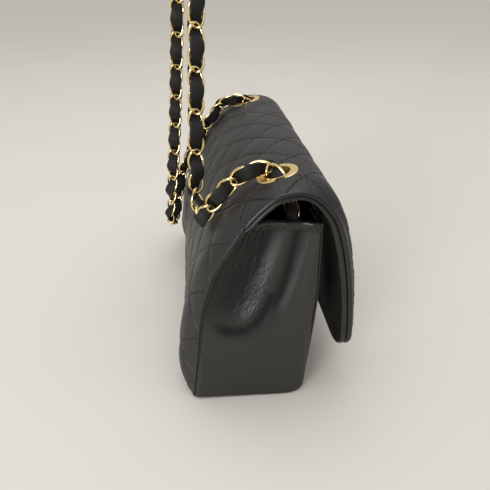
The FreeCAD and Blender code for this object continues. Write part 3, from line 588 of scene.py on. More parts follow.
def stitches(line, normals, length, radius):
    """Thread stitches along a line of points, each a short capsule that dips into the leather at its ends."""
    whole = stations(line)[-1]
    count = int(whole / (STITCH_PITCH * length))
    dip = (STITCH_DIP * radius)[:, None]
    made = []
    for k in range(count):
        share = (whole * (k + 0.5) / count + np.linspace(-0.5, 0.5, len(dip)) * length) / whole
        share = np.clip(share, 0, 1)
        out = at_share(normals, share_of(line, normals, share))
        made.append(tube(at_share(line, share) + out * dip, STITCH_THICK * radius, STITCH_SIDES))
    return made


def share_of(line, normals, share):
    """Shares of a row of normals that match shares of the line that they stand on."""
    along, turned_by = stations(line), stations(normals)
    return np.interp(share, along / along[-1], turned_by / max(turned_by[-1], 1e-9))


# Quilted shell
# Soft forms as (height, place of the height, width), in metres: the flap's padded rim, the low back beside the
# end walls, its sunk middle, the gathers beside the crown's seam, and the droop of the flap's right end
RIM_PUFF = (0.0022, 0.0055, 0.0046)
LOW_BACK_PUFF = (0.0028, 0.011, 0.022)
BACK_SINK = (0.0017, 0.036, 0.022)
GATHERS = (0.00016, 0.0034, 0.0016)
DROOP = (0.0032, FOLD_AT + 0.015, 0.015)
END_ROUNDING = 0.8
SEAM_SOFTNESS = 0.0034
PAD_SINK = 0.35
FOLD_FLATTENING = 0.65
DENT = 0.00022
LINING_FOLD = 0.0006
BODY_THICK, FLAP_EXTRA, RIM_THICK = 0.0048, 0.0018, 0.0022
# Half width and half length of the flat place under the lock's plate, and the reach and radius of its slot
PLATE_ROOM = (0.0125, 0.0175)
SLOT_REACH, SLOT_R = 0.0068, 0.0048
# Grid of the shell, with close rows at its rim
SHELL_COLUMNS, SHELL_ROWS = 98, 285
RIM_COLUMNS = np.array((0.0, 0.3, 0.7, 1.2, 1.8, 2.5, 3.3, 4.2)) * MM
RIM_ROWS = np.array((3.2, 2.5, 1.8, 1.2, 0.7, 0.3, 0.0)) * MM
SLOPE_STEP = 0.002
# Quilting lines: step along them, fewest steps, margins at the shell's ends and edges, and lap under the plate
LINE_STEP, LINE_LEAST, LINE_MARGIN, EDGE_MARGIN, PLATE_LAP = 0.0007, 8, 0.004, 0.0035, 0.001
THREAD_R, THREAD_LIFT = 0.00017, 0.00002
QUILTED_SKINS = ("quilted_lambskin", "edge_lambskin", "lining_leather")


def ridge(place, form):
    """Height of a soft ridge across a place."""
    height, middle, width = form
    return height * np.exp(-((place - middle) / width) ** 2)


def ramp(place, start, reach):
    """0 before a start, 1 past a reach from it, and smooth between."""
    return smooth((place - start) / reach)


def corner_inset(v, corner):
    """How far the rounded lower corners of the flap draw its sides in."""
    rise = np.clip(corner - (SHELL_LENGTH - v), 0, corner)
    return corner - np.sqrt(corner ** 2 - rise ** 2)


def edge_distance(x, v, corner):
    """Distance from a point of the flat shell to its side edges and to the flap's lower edge."""
    side = HALF - np.abs(x)
    low = SHELL_LENGTH - v
    round_gap = corner - np.hypot(corner - side, corner - low)
    gap = np.where((side < corner) & (low < corner), round_gap, np.minimum(side, low))
    return np.maximum(gap, 0.0)


def eyelet_distance(x, v):
    """Distance from a point of the flat shell to the middle of the nearer eyelet."""
    return np.hypot(np.abs(x) - EYELET_X, v - EYELET_AT)


def plate_distance(x, v):
    """Distance from a point of the flat shell to the flat place under the lock's plate."""
    return np.maximum(np.abs(x) - PLATE_ROOM[0], np.abs(v - PLATE_AT) - PLATE_ROOM[1])


def quilting(x, v, size):
    """Padding height, from 0 on the quilting lines to 1 in the middle of a diamond."""
    height = 1.0
    for place in ((x + v) / size, (x - v) / size):
        gap = np.abs(place - np.round(place)) * size / math.sqrt(2)
        height = height * (1 - np.exp(-gap / SEAM_SOFTNESS))
    return height


def slow_dents(x, v):
    """Low waves that keep soft leather from lying dead flat."""
    return (np.sin(67 * x + 29 * v + 0.4) * np.sin(41 * x - 83 * v + 1.9)
            + 0.6 * np.sin(131 * x + 97 * v + 2.7) * np.sin(113 * v - 59 * x))


def panel_base(x, share, rounded, lines, step):
    """Points of a panel between its middle and end lines, and their normals in the plane of the end walls."""
    drawn = []
    for s in (share, np.clip(share - step, 0, 1), np.clip(share + step, 0, 1)):
        middle, end = (at_share(line, s) for line in lines)
        drawn.append(end + (middle - end) * rounded[..., None])
    tangent = unit(drawn[2] - drawn[1])
    points = np.stack([x, drawn[0][..., 0], drawn[0][..., 1]], axis=-1)
    return points, np.stack([np.zeros_like(x), tangent[..., 1], -tangent[..., 0]], axis=-1)


def shell_base(x, v, sizes):
    """Points of the shell before quilting, and their normals in the plane of the end walls."""
    rounded = np.sin(np.clip((HALF - np.abs(x)) / sizes.puff, 0, 1) * math.pi / 2) ** END_ROUNDING
    points, normal = panel_base(x, v / SHELL_LENGTH, rounded, (SHELL_MID, SHELL_END), SLOPE_STEP)
    droop = ridge(v, DROOP) * ramp(x, 0.080, 0.022)
    return points - normal * droop[..., None], normal


def soft_forms(x, v, edge):
    """Height of the padded rim, the full low back and the gathers at the seam."""
    rim = ridge(edge, RIM_PUFF) * smooth(edge / 0.004) * ramp(v, FOLD_AT, 0.030)
    rim = rim * ramp(np.abs(x), PLATE_ROOM[0], 0.010)
    back = ridge(v, LOW_BACK_PUFF) * smooth(v / 0.003) * smooth(edge / 0.008)
    back = back * (1 - ramp(edge, 0.012, 0.025)) - ridge(v, BACK_SINK) * ramp(edge, 0.018, 0.03)
    wave = np.sin(v / 0.00062 + 2.0 * np.sin(v / 0.0031))
    return rim + back + ridge(edge, GATHERS) * wave * ramp(v, SEAM_AT - 0.02, 0.01)


def shell_relief(x, v, sizes):
    """Height of the quilted surface over the plain one."""
    edge = edge_distance(x, v, sizes.corner)
    free = smooth(edge / 0.009) * ramp(eyelet_distance(x, v), EYELET_R, 0.006)
    free = free * smooth(plate_distance(x, v) / 0.006)
    past_fold = ramp(v, FOLD_AT - 0.016, 0.012) * (1 - ramp(v, FOLD_AT + 0.014, 0.02))
    padding = sizes.padding * (1 - FOLD_FLATTENING * past_fold) * (quilting(x, v, sizes.quilt) - PAD_SINK)
    return soft_forms(x, v, edge) + free * (padding + DENT * slow_dents(x, v))


def shell_thickness(x, v, sizes):
    """Thickness of the padded shell: thin where it is sewn to an end wall, full at its free edges."""
    middle = BODY_THICK + FLAP_EXTRA * ramp(v, FOLD_AT, 0.02)
    rim = RIM_THICK * (1 + ramp(v, SEAM_AT - 0.004, 0.008) + ramp(v, FOLD_AT, 0.035))
    return rim + (middle - rim) * smooth(edge_distance(x, v, sizes.corner) / 0.012)


def lining_folds(x, v):
    """Height of the low folds in the flap's lining, none at its edges and behind the lock."""
    wave = LINING_FOLD * np.sin(x / 0.0062 + 3 * np.sin(v / 0.021))
    wave = wave * ramp(v, FOLD_AT, 0.03) * smooth((SHELL_LENGTH - v) / 0.03)
    return wave * smooth((HALF - np.abs(x)) / 0.006) * ramp(np.abs(x), 0.02, 0.01)


def shell_grid(sizes):
    """Places of the shell's grid points, as distances across and along it, closer together at its ends."""
    half = np.concatenate([RIM_COLUMNS, np.linspace(5.2 * MM, HALF, SHELL_COLUMNS)])
    across = np.concatenate([half - HALF, (HALF - half)[-2::-1]])
    low = np.linspace(1.5 * MM, SHELL_LENGTH - 4.0 * MM, SHELL_ROWS)
    across, v = np.meshgrid(across, np.concatenate([low, SHELL_LENGTH - RIM_ROWS]))
    return across / HALF * (HALF - corner_inset(v, sizes.corner)), v


def quad_middles(places):
    """Middles of the quads of a grid of places."""
    return (places[:-1, :-1] + places[1:, 1:]) / 2


def shell_cut(x, v):
    """Quads that are open: the two eyelet holes and the slot for the lock's knob."""
    x, v = quad_middles(x), quad_middles(v)
    slot = np.hypot(x, np.maximum(np.abs(v - PLATE_AT) - SLOT_REACH, 0)) < SLOT_R
    return slot | (eyelet_distance(x, v) < EYELET_HOLE_R)


def quilt_lines(sizes):
    """Quilting lines of the shell, each as rows of places across and along it."""
    lines = []
    most = int((SHELL_LENGTH + HALF) / sizes.quilt) + 1
    v = np.arange(LINE_MARGIN, SHELL_LENGTH - LINE_MARGIN, LINE_STEP)
    for k in range(-most, most + 1):
        for sign in (-1, 1):
            x = k * sizes.quilt + sign * v
            inside = (edge_distance(x, v, sizes.corner) > EDGE_MARGIN) & (np.abs(x) < HALF)
            inside &= (eyelet_distance(x, v) > EYELET_R) & (plate_distance(x, v) > -PLATE_LAP)
            cuts = np.flatnonzero(np.diff(inside.astype(int)))
            for part in np.split(np.arange(len(v)), cuts + 1):
                if len(part) > LINE_LEAST and inside[part[0]]:
                    lines.append((x[part], v[part]))
    return lines


def build_shell(sizes):
    """Quilted back, crown and flap in one, and the stitches along its quilting."""
    x, v = shell_grid(sizes)
    base, normal = shell_base(x, v, sizes)
    outer = base + normal * shell_relief(x, v, sizes)[..., None]
    inner = base - normal * (shell_thickness(x, v, sizes) - lining_folds(x, v))[..., None]
    shell = padded_panel("quilted_shell", outer, inner, np.stack([x, v], axis=-1), QUILTED_SKINS,
                         shell_cut(x, v), rim_profile())
    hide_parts("back_panel", "flap_cover", "flap_interlining", "flap_welt", "flap_lining")
    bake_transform(shell)
    sewn = []
    for line_x, line_v in quilt_lines(sizes):
        base, normal = shell_base(line_x, line_v, sizes)
        line = base + normal * (shell_relief(line_x, line_v, sizes) + THREAD_LIFT)[:, None]
        sewn += stitches(line, normal, sizes.stitch, THREAD_R)
    thread = new_piece("quilt_stitches", *merged(sewn), ("black_thread",))
    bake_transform(thread)


# Front panel
FRONT_COLUMNS, FRONT_ROWS = 180, 96
FRONT_PUFF = 0.040
FRONT_GAP = 0.0001
FRONT_SLOPE_STEP = 0.004
FRONT_THICK, FRONT_PAD = 0.0020, 0.0024
# Half width and half height of the flat place under the lock's base, how deep it lies, and the knob's bore
LOCK_ROOM = (0.0112, 0.0132)
LOCK_SINK = 0.0007
LOCK_BORE_R = 0.0040


def build_front(sizes):
    """Quilted front panel under the flap, sunk flat where the lock sits."""
    across, v = np.meshgrid(np.linspace(-1, 1, FRONT_COLUMNS),
                            np.linspace(1.5 * MM, FRONT_LENGTH - 0.5 * MM, FRONT_ROWS))
    share = v / FRONT_LENGTH
    half = wall_surface(np.ones((FRONT_ROWS, 1)), share[:, :1], 1)[..., 0] - FRONT_GAP
    x = across * half
    side = half - np.abs(x)
    edge = np.minimum(side, FRONT_LENGTH - v)
    rounded = np.sin(np.clip(side / FRONT_PUFF, 0, 1) * math.pi / 2)
    base, inward = panel_base(x, share, rounded, (FRONT_MID, FRONT_END), FRONT_SLOPE_STEP)
    z = base[..., 2]
    lock = smooth(np.maximum(np.abs(x) - LOCK_ROOM[0], np.abs(z - LOCK_Z) - LOCK_ROOM[1]) / 0.005)
    relief = smooth(edge / 0.007) * sizes.padding * (quilting(x, v, sizes.quilt) - PAD_SINK)
    relief = lock * relief - LOCK_SINK * (1 - lock)
    thickness = FRONT_THICK + FRONT_PAD * smooth(edge / 0.012)
    bore = np.hypot(quad_middles(x), quad_middles(z) - LOCK_Z) < LOCK_BORE_R
    panel = padded_panel("quilted_front", base - inward * relief[..., None],
                         base + inward * thickness[..., None], np.stack([x, v], axis=-1), QUILTED_SKINS, bore)
    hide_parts("front_panel")
    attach(panel, "bag_body")


# End walls
WALL_SHIFT = (-0.5, 0.2)
WALL_BACK = through([np.add(place, WALL_SHIFT) for place in END_POINTS[:SEAM_POINT + 1]])
WALL_FRONT_LINE = through(WALL_FRONT)
WALL_TOP_LINE = np.vstack([WALL_BACK[-1:], through(WALL_TOP)[1:]])
# Folds of the end wall from back to front: (y, z) lines in millimetres from the top down, and their height
WALL_FOLDS = (
    (((-12.0, 104.0), (-11.4, 99.0), (-9.8, 91.0), (-5.7, 80.7), (-0.8, 70.0), (2.3, 61.2), (4.6, 52.0),
      (6.0, 40.0)), -3.6),
    (((-20.4, 104.0), (-19.6, 98.7), (-18.1, 90.6), (-15.2, 78.1), (-10.5, 65.8), (-7.5, 57.6), (-3.7, 49.9),
      (-1.0, 40.0)), -0.8),
    (((-26.4, 104.0), (-25.4, 97.8), (-24.1, 89.0), (-21.9, 78.5), (-19.8, 69.1), (-15.6, 58.7), (-10.5, 49.5),
      (-7.0, 40.0)), -2.7),
    (((-32.0, 104.0), (-31.0, 96.9), (-29.5, 86.7), (-27.3, 76.0), (-25.2, 67.3), (-23.1, 58.2), (-20.5, 49.0),
      (-18.0, 40.0)), -0.9),
)
HOLLOW = ((6.0, 92.0), (7.0, 78.0), (6.5, 62.0), (7.0, 48.0))
# Groove that runs on from the second hollow, under the loose leather
LIP = ((-14.3, 65.1), (-11.5, 58.1), (-8.6, 52.2), (-5.1, 46.8), (-0.5, 43.3), (3.7, 42.3), (7.8, 42.5),
       (11.9, 44.1), (16.0, 47.5), (18.9, 52.0))
LIP_DEPTH = 1.0 * MM
WRINKLE_FAN = 10
WRINKLE_HEIGHT, WRINKLE_WIDTH = 0.30 * MM, 0.62 * MM
# Share of painted shade, a dimmer reflection, at the back edge, on each fold and at the front edge, and in the
# groove
FOLD_SHADE = (0.6, 0.85, 0.0, 0.95, 0.0, 0.0)
LIP_SHADE = 0.95
# Outward swell of an end wall: all over, in its lower half and at its foot, and the roll of its front edge
WALL_SWELL, LOW_SWELL, FOOT_SWELL, FRONT_ROLL = 0.0012, 0.0016, 0.0008, 0.0034
TOP_DRAW_IN = 0.0042
WALL_GAP, WALL_EDGE_THICK, WALL_THICK = 0.0002, 0.0003, 0.0015
WALL_SKINS = ("wall_lambskin", "edge_lambskin", "lining_leather")
WALL_COLUMNS, WALL_ROWS = 112, 176
# Section of the turned hem, from its lower edge outside over the top to the inside: depth and outward lift
HEM_DROP = np.array((4.9, 4.7, 4.2, 3.4, 2.5, 1.1, 0.3, -0.3, -0.4, 0.0, 1.0, 3.0)) * MM
HEM_LIFT = np.array((-0.1, 0.40, 0.62, 0.30, 0.72, 0.85, 0.8, 0.3, -1.4, -2.2, -2.5, -2.4)) * MM
HEM_GATHERS = (0.00014, 0.0040, 0.0013)
HEM_GATHER_COUNT = 11.0
HEM_SPAN, HEM_STEPS, HEM_TEXTURE = (0.035, 0.985), 240, 0.04
HEM_STITCH_SHARE, HEM_STITCH_LIFT, HEM_THREAD_R = 0.034, 0.0004, 0.00022
WALL_HEIGHT = 0.100


def wall_wrinkles():
    """Lines of the long wrinkles, a fan from the gathered top corner."""
    lines = []
    for k in range(WRINKLE_FAN):
        top = np.array((1.4 - 1.2 * k, 98.0 + 0.3 * k))
        low = np.array((15.5 - 1.9 * k, 66.0 - 4.0 * (k % 3)))
        bow = np.array((1.1, 0.6)) * math.sin(2.3 * k)
        lines.append((top, top * 0.65 + low * 0.35 + bow, top * 0.3 + low * 0.7 - 0.6 * bow, low))
    return lines


def across_folds(points, values):
    """Smooth value over an end wall, from its value on each fold and on both edges, fading at the low end."""
    y, z = points[..., 0], points[..., 1]
    paths = [WALL_BACK] + [through(line)[::-1] for line, _ in WALL_FOLDS] + [WALL_FRONT_LINE]
    lines = [np.interp(z, path[:, 1], path[:, 0]) for path in paths]
    result = np.zeros(points.shape[:-1])
    for here, there, low, high in zip(lines, lines[1:], values, values[1:]):
        share = (here - y) / (here - there)
        between = (share >= 0) & (share < 1)
        result = np.where(between, low + (high - low) * (1 - np.cos(math.pi * share)) / 2, result)
    return result * ramp(z, 0.040, 0.022)


def wall_lip(points, width, start):
    """Share of the groove under the loose leather of an end wall, fading at its start and end."""
    gap, share = line_distance(points, through(LIP))
    return ridge(gap, (1.0, 0.0, width)) * smooth(share / start) * smooth((1 - share) / 0.25)


def wall_relief(points):
    """Outward height of the soft folds and long wrinkles of an end wall."""
    height = across_folds(points, [0.0] + [rise * MM for _, rise in WALL_FOLDS] + [0.0])
    height -= LIP_DEPTH * wall_lip(points, 2.8 * MM, 0.5)
    for line in wall_wrinkles():
        gap, share = line_distance(points, through(line))
        height += ridge(gap, (WRINKLE_HEIGHT, 0.0, WRINKLE_WIDTH)) * smooth((1 - share) / 0.6)
    return height


def wall_painted_shade(points):
    """Share of painted shade, a dimmer reflection, in the creased hollows and the groove of an end wall."""
    return np.maximum(across_folds(points, FOLD_SHADE), LIP_SHADE * wall_lip(points, 3.6 * MM, 0.08))


def wall_crinkle(points):
    """Share of fine crinkle in the leather of an end wall, full in its hollow."""
    gap, z = line_distance(points, through(HOLLOW))[0], points[..., 1]
    return smooth(1.35 - gap / 0.018) * ramp(z, 0.042, 0.014) * (1 - 0.75 * ramp(z, 0.072, 0.03))


def wall_point(c, w):
    """(y, z) of an end wall at shares from back to front and from base to top."""
    back, front = at_share(WALL_BACK, w), at_share(WALL_FRONT_LINE, w)
    top = at_share(WALL_TOP_LINE, c)
    c, w = c[..., None], w[..., None]
    low = WALL_BACK[0] * (1 - c) + WALL_FRONT_LINE[0] * c
    corners = low * (1 - w) + (WALL_BACK[-1] * (1 - c) + WALL_FRONT_LINE[-1] * c) * w
    return back * (1 - c) + front * c + low * (1 - w) + top * w - corners


def wall_surface(c, w, side, lift=0.0):
    """Points of an end wall in the frame, lifted outwards."""
    place = wall_point(c, w)
    swell = WALL_SWELL + LOW_SWELL * (1 - smooth(w / 0.55)) + FOOT_SWELL * (1 - smooth(w / 0.3))
    swell = swell * smooth(c / 0.08 + 0.35) * smooth(w / 0.03 + 0.5)
    turn = np.clip(1 - (1 - c) / 0.14, 0, 1)
    swell = swell - FRONT_ROLL * (1 - np.sqrt(1 - 0.96 * turn ** 2))
    loose = smooth(c / 0.08) * smooth((1 - c) / 0.06) * (1 - 0.55 * ramp(w, 0.93, 0.07))
    draw_in = TOP_DRAW_IN * ramp(w, 0.42, 0.5) * np.sin(np.clip(c, 0, 1) * math.pi) ** 0.6
    x = side * (WALL_X - WALL_GAP + wall_relief(place) * loose + swell - draw_in + lift)
    return np.stack([x, place[..., 0], place[..., 1]], axis=-1)


def build_end_wall(side, name, sizes):
    """Plain end wall with its folds, its turned hem and the stitches in it."""
    c, w = np.meshgrid(np.linspace(0, 1, WALL_COLUMNS), np.linspace(0, 1, WALL_ROWS))
    outer = wall_surface(c, w, side)
    inner = wall_surface(c, w, side, -WALL_EDGE_THICK - WALL_THICK * smooth((1 - c) / 0.1))
    place = outer[..., 1:]
    wall = padded_panel("%s_end_wall" % name, outer, inner, place, WALL_SKINS)
    # The second share is painted shade that dims the reflection in the wall's hollows.
    for entry, share in (("crinkle", wall_crinkle(place)), ("hollow_shade", wall_painted_shade(place))):
        layer = wall.data.attributes.new(entry, "FLOAT", "POINT")
        layer.data.foreach_set("value", np.tile(share.ravel(), 2))
    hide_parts("%s_gusset" % name)
    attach(wall, "bag_body")

    share = np.linspace(*HEM_SPAN, HEM_STEPS)
    drop, c = np.meshgrid(HEM_DROP, share)
    gathers = ridge(drop, HEM_GATHERS) * np.cos(c * 2 * math.pi * HEM_GATHER_COUNT)
    strip = wall_surface(c, 1 - drop / WALL_HEIGHT, side, HEM_LIFT + gathers)
    hem = new_piece("%s_hem" % name, strip.reshape(-1, 3), grid_faces(*c.shape), ("edge_lambskin",),
                    uv=np.stack([c * HEM_TEXTURE, drop], axis=-1).reshape(-1, 2))
    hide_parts("%s_gusset_hem" % name)
    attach(hem, "bag_body")
    sewn = wall_surface(share, np.full_like(share, 1 - HEM_STITCH_SHARE), side, HEM_STITCH_LIFT)
    out = np.tile((side * 1.0, 0.0, 0.0), (len(share), 1)) + np.linspace(0, 0.01, len(share))[:, None]
    thread = new_piece("%s_hem_stitches" % name, *merged(stitches(sewn, out, sizes.stitch, HEM_THREAD_R)),
                       ("black_thread",))
    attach(thread, "bag_body")


# Piping: its radius in the flat seam, more along the back, more at the crown, and the knob at its start
WELT_R, WELT_BACK, WELT_PROUD = 0.00042, 0.0002, 0.00035
WELT_KNOB = (0.0004, 0.0015, 0.0012)
# How far it lies inside the wall at the base and front, outside the shell at the back, and out at the crown
WELT_SINK, WELT_BACK_OUT, WELT_CROWN_OUT = 0.0012, 0.0009, 0.0006


def build_welt(side, name):
    """Piping in the seam round an end wall, full at the crown and flat round the base and front."""
    back = at_share(WALL_BACK, np.linspace(1, 0, 110))
    front = at_share(WALL_FRONT_LINE, np.linspace(0, 1, 90))
    low = np.linspace(back[-1], front[0], 60)[1:-1]
    line = np.vstack([back, low, front])
    along = stations(line)
    proud = smooth(1 - along / 0.085)
    sewn_back = smooth((stations(back)[-1] - along) / 0.012)
    out = WALL_X - WELT_SINK + (HALF - WALL_X + WELT_BACK_OUT) * sewn_back + WELT_CROWN_OUT * proud
    radius = WELT_R + WELT_BACK * sewn_back + WELT_PROUD * proud + ridge(along, WELT_KNOB)
    welt = new_piece("%s_piping" % name, *tube(np.column_stack([side * out, line]), radius),
                     ("edge_lambskin",))
    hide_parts("%s_seam_welt" % name)
    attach(welt, "bag_body")


# Inside and base
BASE_COLUMNS, BASE_ROWS = 80, 32
BASE_INSET_X, BASE_INSET_Y = 0.001, 0.0005
BASE_ROUND, BASE_GAP = 0.0005, 0.0001
POCKET_COLUMNS, POCKET_ROWS = 90, 60
POCKET_SLACK, POCKET_THICK, POCKET_GAP = 0.0016, 0.0012, 0.0003
LINING_THICK, LINING_GAP, LINING_DEPTH_SHARE = 0.0007, 0.0002, 0.985
LINING_WAVE, LINING_RISE = 0.00025, 0.004


def build_base():
    """Leather bottom with soft edges, and the lining on the floor of the bag."""
    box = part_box("base_panel")
    x, y = np.meshgrid(np.linspace(box[0].x + BASE_INSET_X, box[1].x - BASE_INSET_X, BASE_COLUMNS),
                       np.linspace(box[0].y + BASE_INSET_Y, box[1].y - BASE_INSET_Y, BASE_ROWS))
    uv = np.stack([x, y], axis=-1)
    edge = np.minimum(np.minimum(x - x.min(), x.max() - x), np.minimum(y - y.min(), y.max() - y))
    under = np.stack([x, y, BASE_ROUND * (1 - smooth(edge / 0.004))], axis=-1)
    over = np.stack([x, y, np.full_like(x, box[1].z - BASE_GAP)], axis=-1)
    base = padded_panel("base_leather", under, over, uv,
                        ("plain_lambskin", "edge_lambskin", "lining_leather"))
    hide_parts("base_panel")
    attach(base, "bag_body")

    wave = LINING_WAVE * (1 + slow_dents(x, y)) * smooth(edge / 0.008)
    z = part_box("base_board")[1].z + LINING_GAP + wave + LINING_RISE * (1 - smooth(edge / 0.005))
    sheet = np.stack([x, y * LINING_DEPTH_SHARE, z], axis=-1)
    lining = padded_panel("compartment_lining", sheet + (0, 0, LINING_THICK), sheet, uv,
                          ("lining_leather", "lining_leather", "lining_leather"))
    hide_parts("body_lining")
    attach(lining, "bag_body")


def build_pocket(sizes):
    """Slip pocket on the back lining, a little slack at its mouth."""
    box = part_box("inner_pocket")
    back = SHELL_MID[:, 0] > 0
    low, high = (np.interp(corner.z, SHELL_MID[back, 1], stations(SHELL_MID)[back]) for corner in box)
    x, v = np.meshgrid(np.linspace(-box[1].x, box[1].x, POCKET_COLUMNS), np.linspace(low, high, POCKET_ROWS))
    place, normal = shell_base(x, v, sizes)
    rise = np.linspace(0, 1, POCKET_ROWS)[:, None]
    slack = POCKET_SLACK * np.sin(np.linspace(0, math.pi, POCKET_COLUMNS)) * rise ** 2
    skin = place - normal * (shell_thickness(x, v, sizes) + POCKET_GAP + slack)[..., None]
    pocket = padded_panel("slip_pocket", skin - normal * POCKET_THICK, skin, np.stack([x, v], axis=-1),
                          ("lining_leather", "edge_lambskin", "lining_leather"))
    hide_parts("inner_pocket")
    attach(pocket, "bag_body")


# Strap tab, with the gaps from the wall to its two ends, and how much higher the second end is sewn
TAB_WIDTH, TAB_THICK, TAB_FOLD_R = 0.0046, 0.0011, 0.0022
TAB_UNDER, TAB_OVER, TAB_STEP = 0.0008, 0.0022, 0.003
TAB_TURN = (-60, 240)
RING_WIRE_R = 0.0008


def build_anchor_tab(side, name):
    """Leather tab sewn to the end wall inside, folded round the anchor ring."""
    low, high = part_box("%s_anchor_tab" % name)
    ring_low, ring_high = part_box("%s_anchor_ring" % name)
    wall = side * max(abs(low.x), abs(high.x))
    ring_x = side * (max(abs(ring_low.x), abs(ring_high.x)) - RING_WIRE_R)
    ring_z = ring_low.z + RING_WIRE_R
    turn = np.radians(np.linspace(*TAB_TURN, 22))
    eye = np.column_stack([ring_x + side * TAB_FOLD_R * np.cos(turn), ring_z + TAB_FOLD_R * np.sin(turn)])
    up = np.linspace((wall - side * TAB_UNDER, low.z), eye[0], 16)[:-1]
    down = np.linspace(eye[-1], (wall - side * TAB_OVER, low.z + TAB_STEP), 14)[1:]
    line = np.vstack([up, eye, down])
    path = np.column_stack([line[:, 0], np.full(len(line), (low.y + high.y) / 2), line[:, 1]])
    points, faces, uv = ribbon(path, np.tile((0.0, 1.0, 0.0), (len(path), 1)), TAB_WIDTH, TAB_THICK)
    tab = new_piece("%s_strap_tab" % name, points, faces, ("plain_lambskin",), uv=uv)
    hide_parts("%s_anchor_tab" % name)
    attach(tab, "bag_body")


# Strap
LINK_LENGTH = 12.6 * MM
LINK_HALF_WIDTH = 3.75 * MM
RAIL_SLOPE = math.radians(24.0)
TIP_TWIST = math.radians(48.0)
ARC_POINTS = 9
ROUTE_STEPS = 40
WIRE_SIDES = 12
# Turn of the links at the strap's ends, at the two pivots and in the two strands, and over how many links
ROLL_LINKS = 3
LEFT_PIVOT_ROLL = math.radians(10.0)
RIGHT_PIVOT_ROLL = math.radians(28.0)
LEFT_STRAND_ROLL = math.radians(-50.0)
RIGHT_STRAND_ROLL = math.radians(-26.0)
LEFT_TURN_LINKS, TURN_LINKS = 3, 5
LINK_SLANT = 0.32
FIRST_LOOP_LINK, LAST_LOOP_LINK = LEFT_LINKS, LEFT_LINKS + LOOP_LINKS - 1
# Lace: its rise over and under the junctions, its widening there, the power that rounds its wave, and its
# points to a link
LACE_WAVE = 2.9 * MM
LACE_SPREAD = 0.0017
LACE_ROUND = 0.8
LACE_STEPS = 14
# Section of a flat strip: number of its sides, and powers that square it across and through
STRIP_SIDES = 16
STRIP_ACROSS, STRIP_THROUGH = 0.55, 0.75


def ribbon(path, lateral, width, thickness):
    """Points, faces and texture places of a rounded strip along a path."""
    along = unit(np.gradient(path, axis=0))
    lateral = unit(lateral - along * np.sum(lateral * along, axis=1, keepdims=True))
    thick = np.cross(along, lateral)
    angles = np.linspace(0, 2 * math.pi, STRIP_SIDES, endpoint=False)
    across, deep = (np.sign(way) * np.abs(way) ** power for way, power in (
        (np.cos(angles), STRIP_ACROSS), (np.sin(angles), STRIP_THROUGH)))
    wide = np.broadcast_to(width, len(path))[:, None, None] / 2
    points = (path[:, None] + lateral[:, None] * across[None, :, None] * wide
              + thick[:, None] * deep[None, :, None] * thickness / 2)
    uv = np.stack(np.broadcast_arrays(stations(path)[:, None], across[None] * wide[..., 0]), axis=-1)
    return points.reshape(-1, 3), tube_faces(len(path), STRIP_SIDES), uv.reshape(-1, 2)


def link_quarter():
    """Quarter of a link's wire line along X, two arcs from the middle of a rail to a tip."""
    rail, tip = np.array((0, LINK_HALF_WIDTH, 0)), np.array((LINK_LENGTH / 2, 0, 0))
    from_rail = np.array((math.cos(RAIL_SLOPE), 0, math.sin(RAIL_SLOPE)))
    to_tip = np.array((0, -math.cos(TIP_TWIST), -math.sin(TIP_TWIST)))
    across = tip - rail
    a = 2 - 2 * from_rail @ to_tip
    b = 2 * across @ (from_rail + to_tip)
    handle = (-b + math.sqrt(b * b + 4 * a * across @ across)) / (2 * a)
    middle = (rail + from_rail * handle + tip - to_tip * handle) / 2
    points = [rail]
    heading = from_rail
    for start, end in ((rail, middle), (middle, tip)):
        chord = end - start
        half = math.acos(np.clip(heading @ unit(chord), -1, 1))
        sidewards = unit(unit(chord) - heading * math.cos(half))
        for bend in half * np.linspace(0, 1, ARC_POINTS)[1:]:
            reach = np.linalg.norm(chord) * math.sin(bend) / math.sin(half)
            points.append(start + reach * (heading * math.cos(bend) + sidewards * math.sin(bend)))
        heading = 2 * math.cos(half) * unit(chord) - heading
    return np.array(points)


def link_mesh(wire):
    """Points and quads of one twisted link, a closed wire ring alike under half turns about X, Y and Z."""
    quarter = link_quarter()
    ring = np.vstack([quarter[:-1], (quarter * (1, -1, -1))[:0:-1],
                      (quarter * (-1, -1, 1))[:-1], (quarter * (-1, 1, -1))[:0:-1]])
    tangents = unit(np.roll(ring, -1, axis=0) - np.roll(ring, 1, axis=0))
    radial = unit(ring - tangents * np.sum(ring * tangents, axis=1, keepdims=True))
    other = np.cross(tangents, radial)
    angles = np.linspace(0, 2 * math.pi, WIRE_SIDES, endpoint=False)
    points = ring[:, None] + wire * (radial[:, None] * np.cos(angles)[None, :, None]
                                     + other[:, None] * np.sin(angles)[None, :, None])
    faces = []
    for i in range(len(ring)):
        here, there = i * WIRE_SIDES, (i + 1) % len(ring) * WIRE_SIDES
        for j in range(WIRE_SIDES):
            k = (j + 1) % WIRE_SIDES
            faces.append((here + j, here + k, there + k, there + j))
    return points.reshape(-1, 3), faces


def strap_line():
    """Points along the strap, read from one smooth spline along its route."""
    curve = bpy.data.curves.new("strap_route", "CURVE")
    curve.dimensions = "3D"
    curve.resolution_u = ROUTE_STEPS
    spline = curve.splines.new("NURBS")
    spline.points.add(len(STRAP_ROUTE) - 1)
    for point, place in zip(spline.points, STRAP_ROUTE):
        point.co = tuple(c * MM for c in place) + (1.0,)
    spline.order_u = 3
    spline.use_endpoint_u = True
    route = bpy.data.objects.new("strap_route", curve)
    bpy.context.scene.collection.objects.link(route)
    mesh = bpy.data.meshes.new_from_object(route)
    line = np.array([v.co for v in mesh.vertices])
    bpy.data.meshes.remove(mesh)
    bpy.data.objects.remove(route)
    bpy.data.curves.remove(curve)
    return line


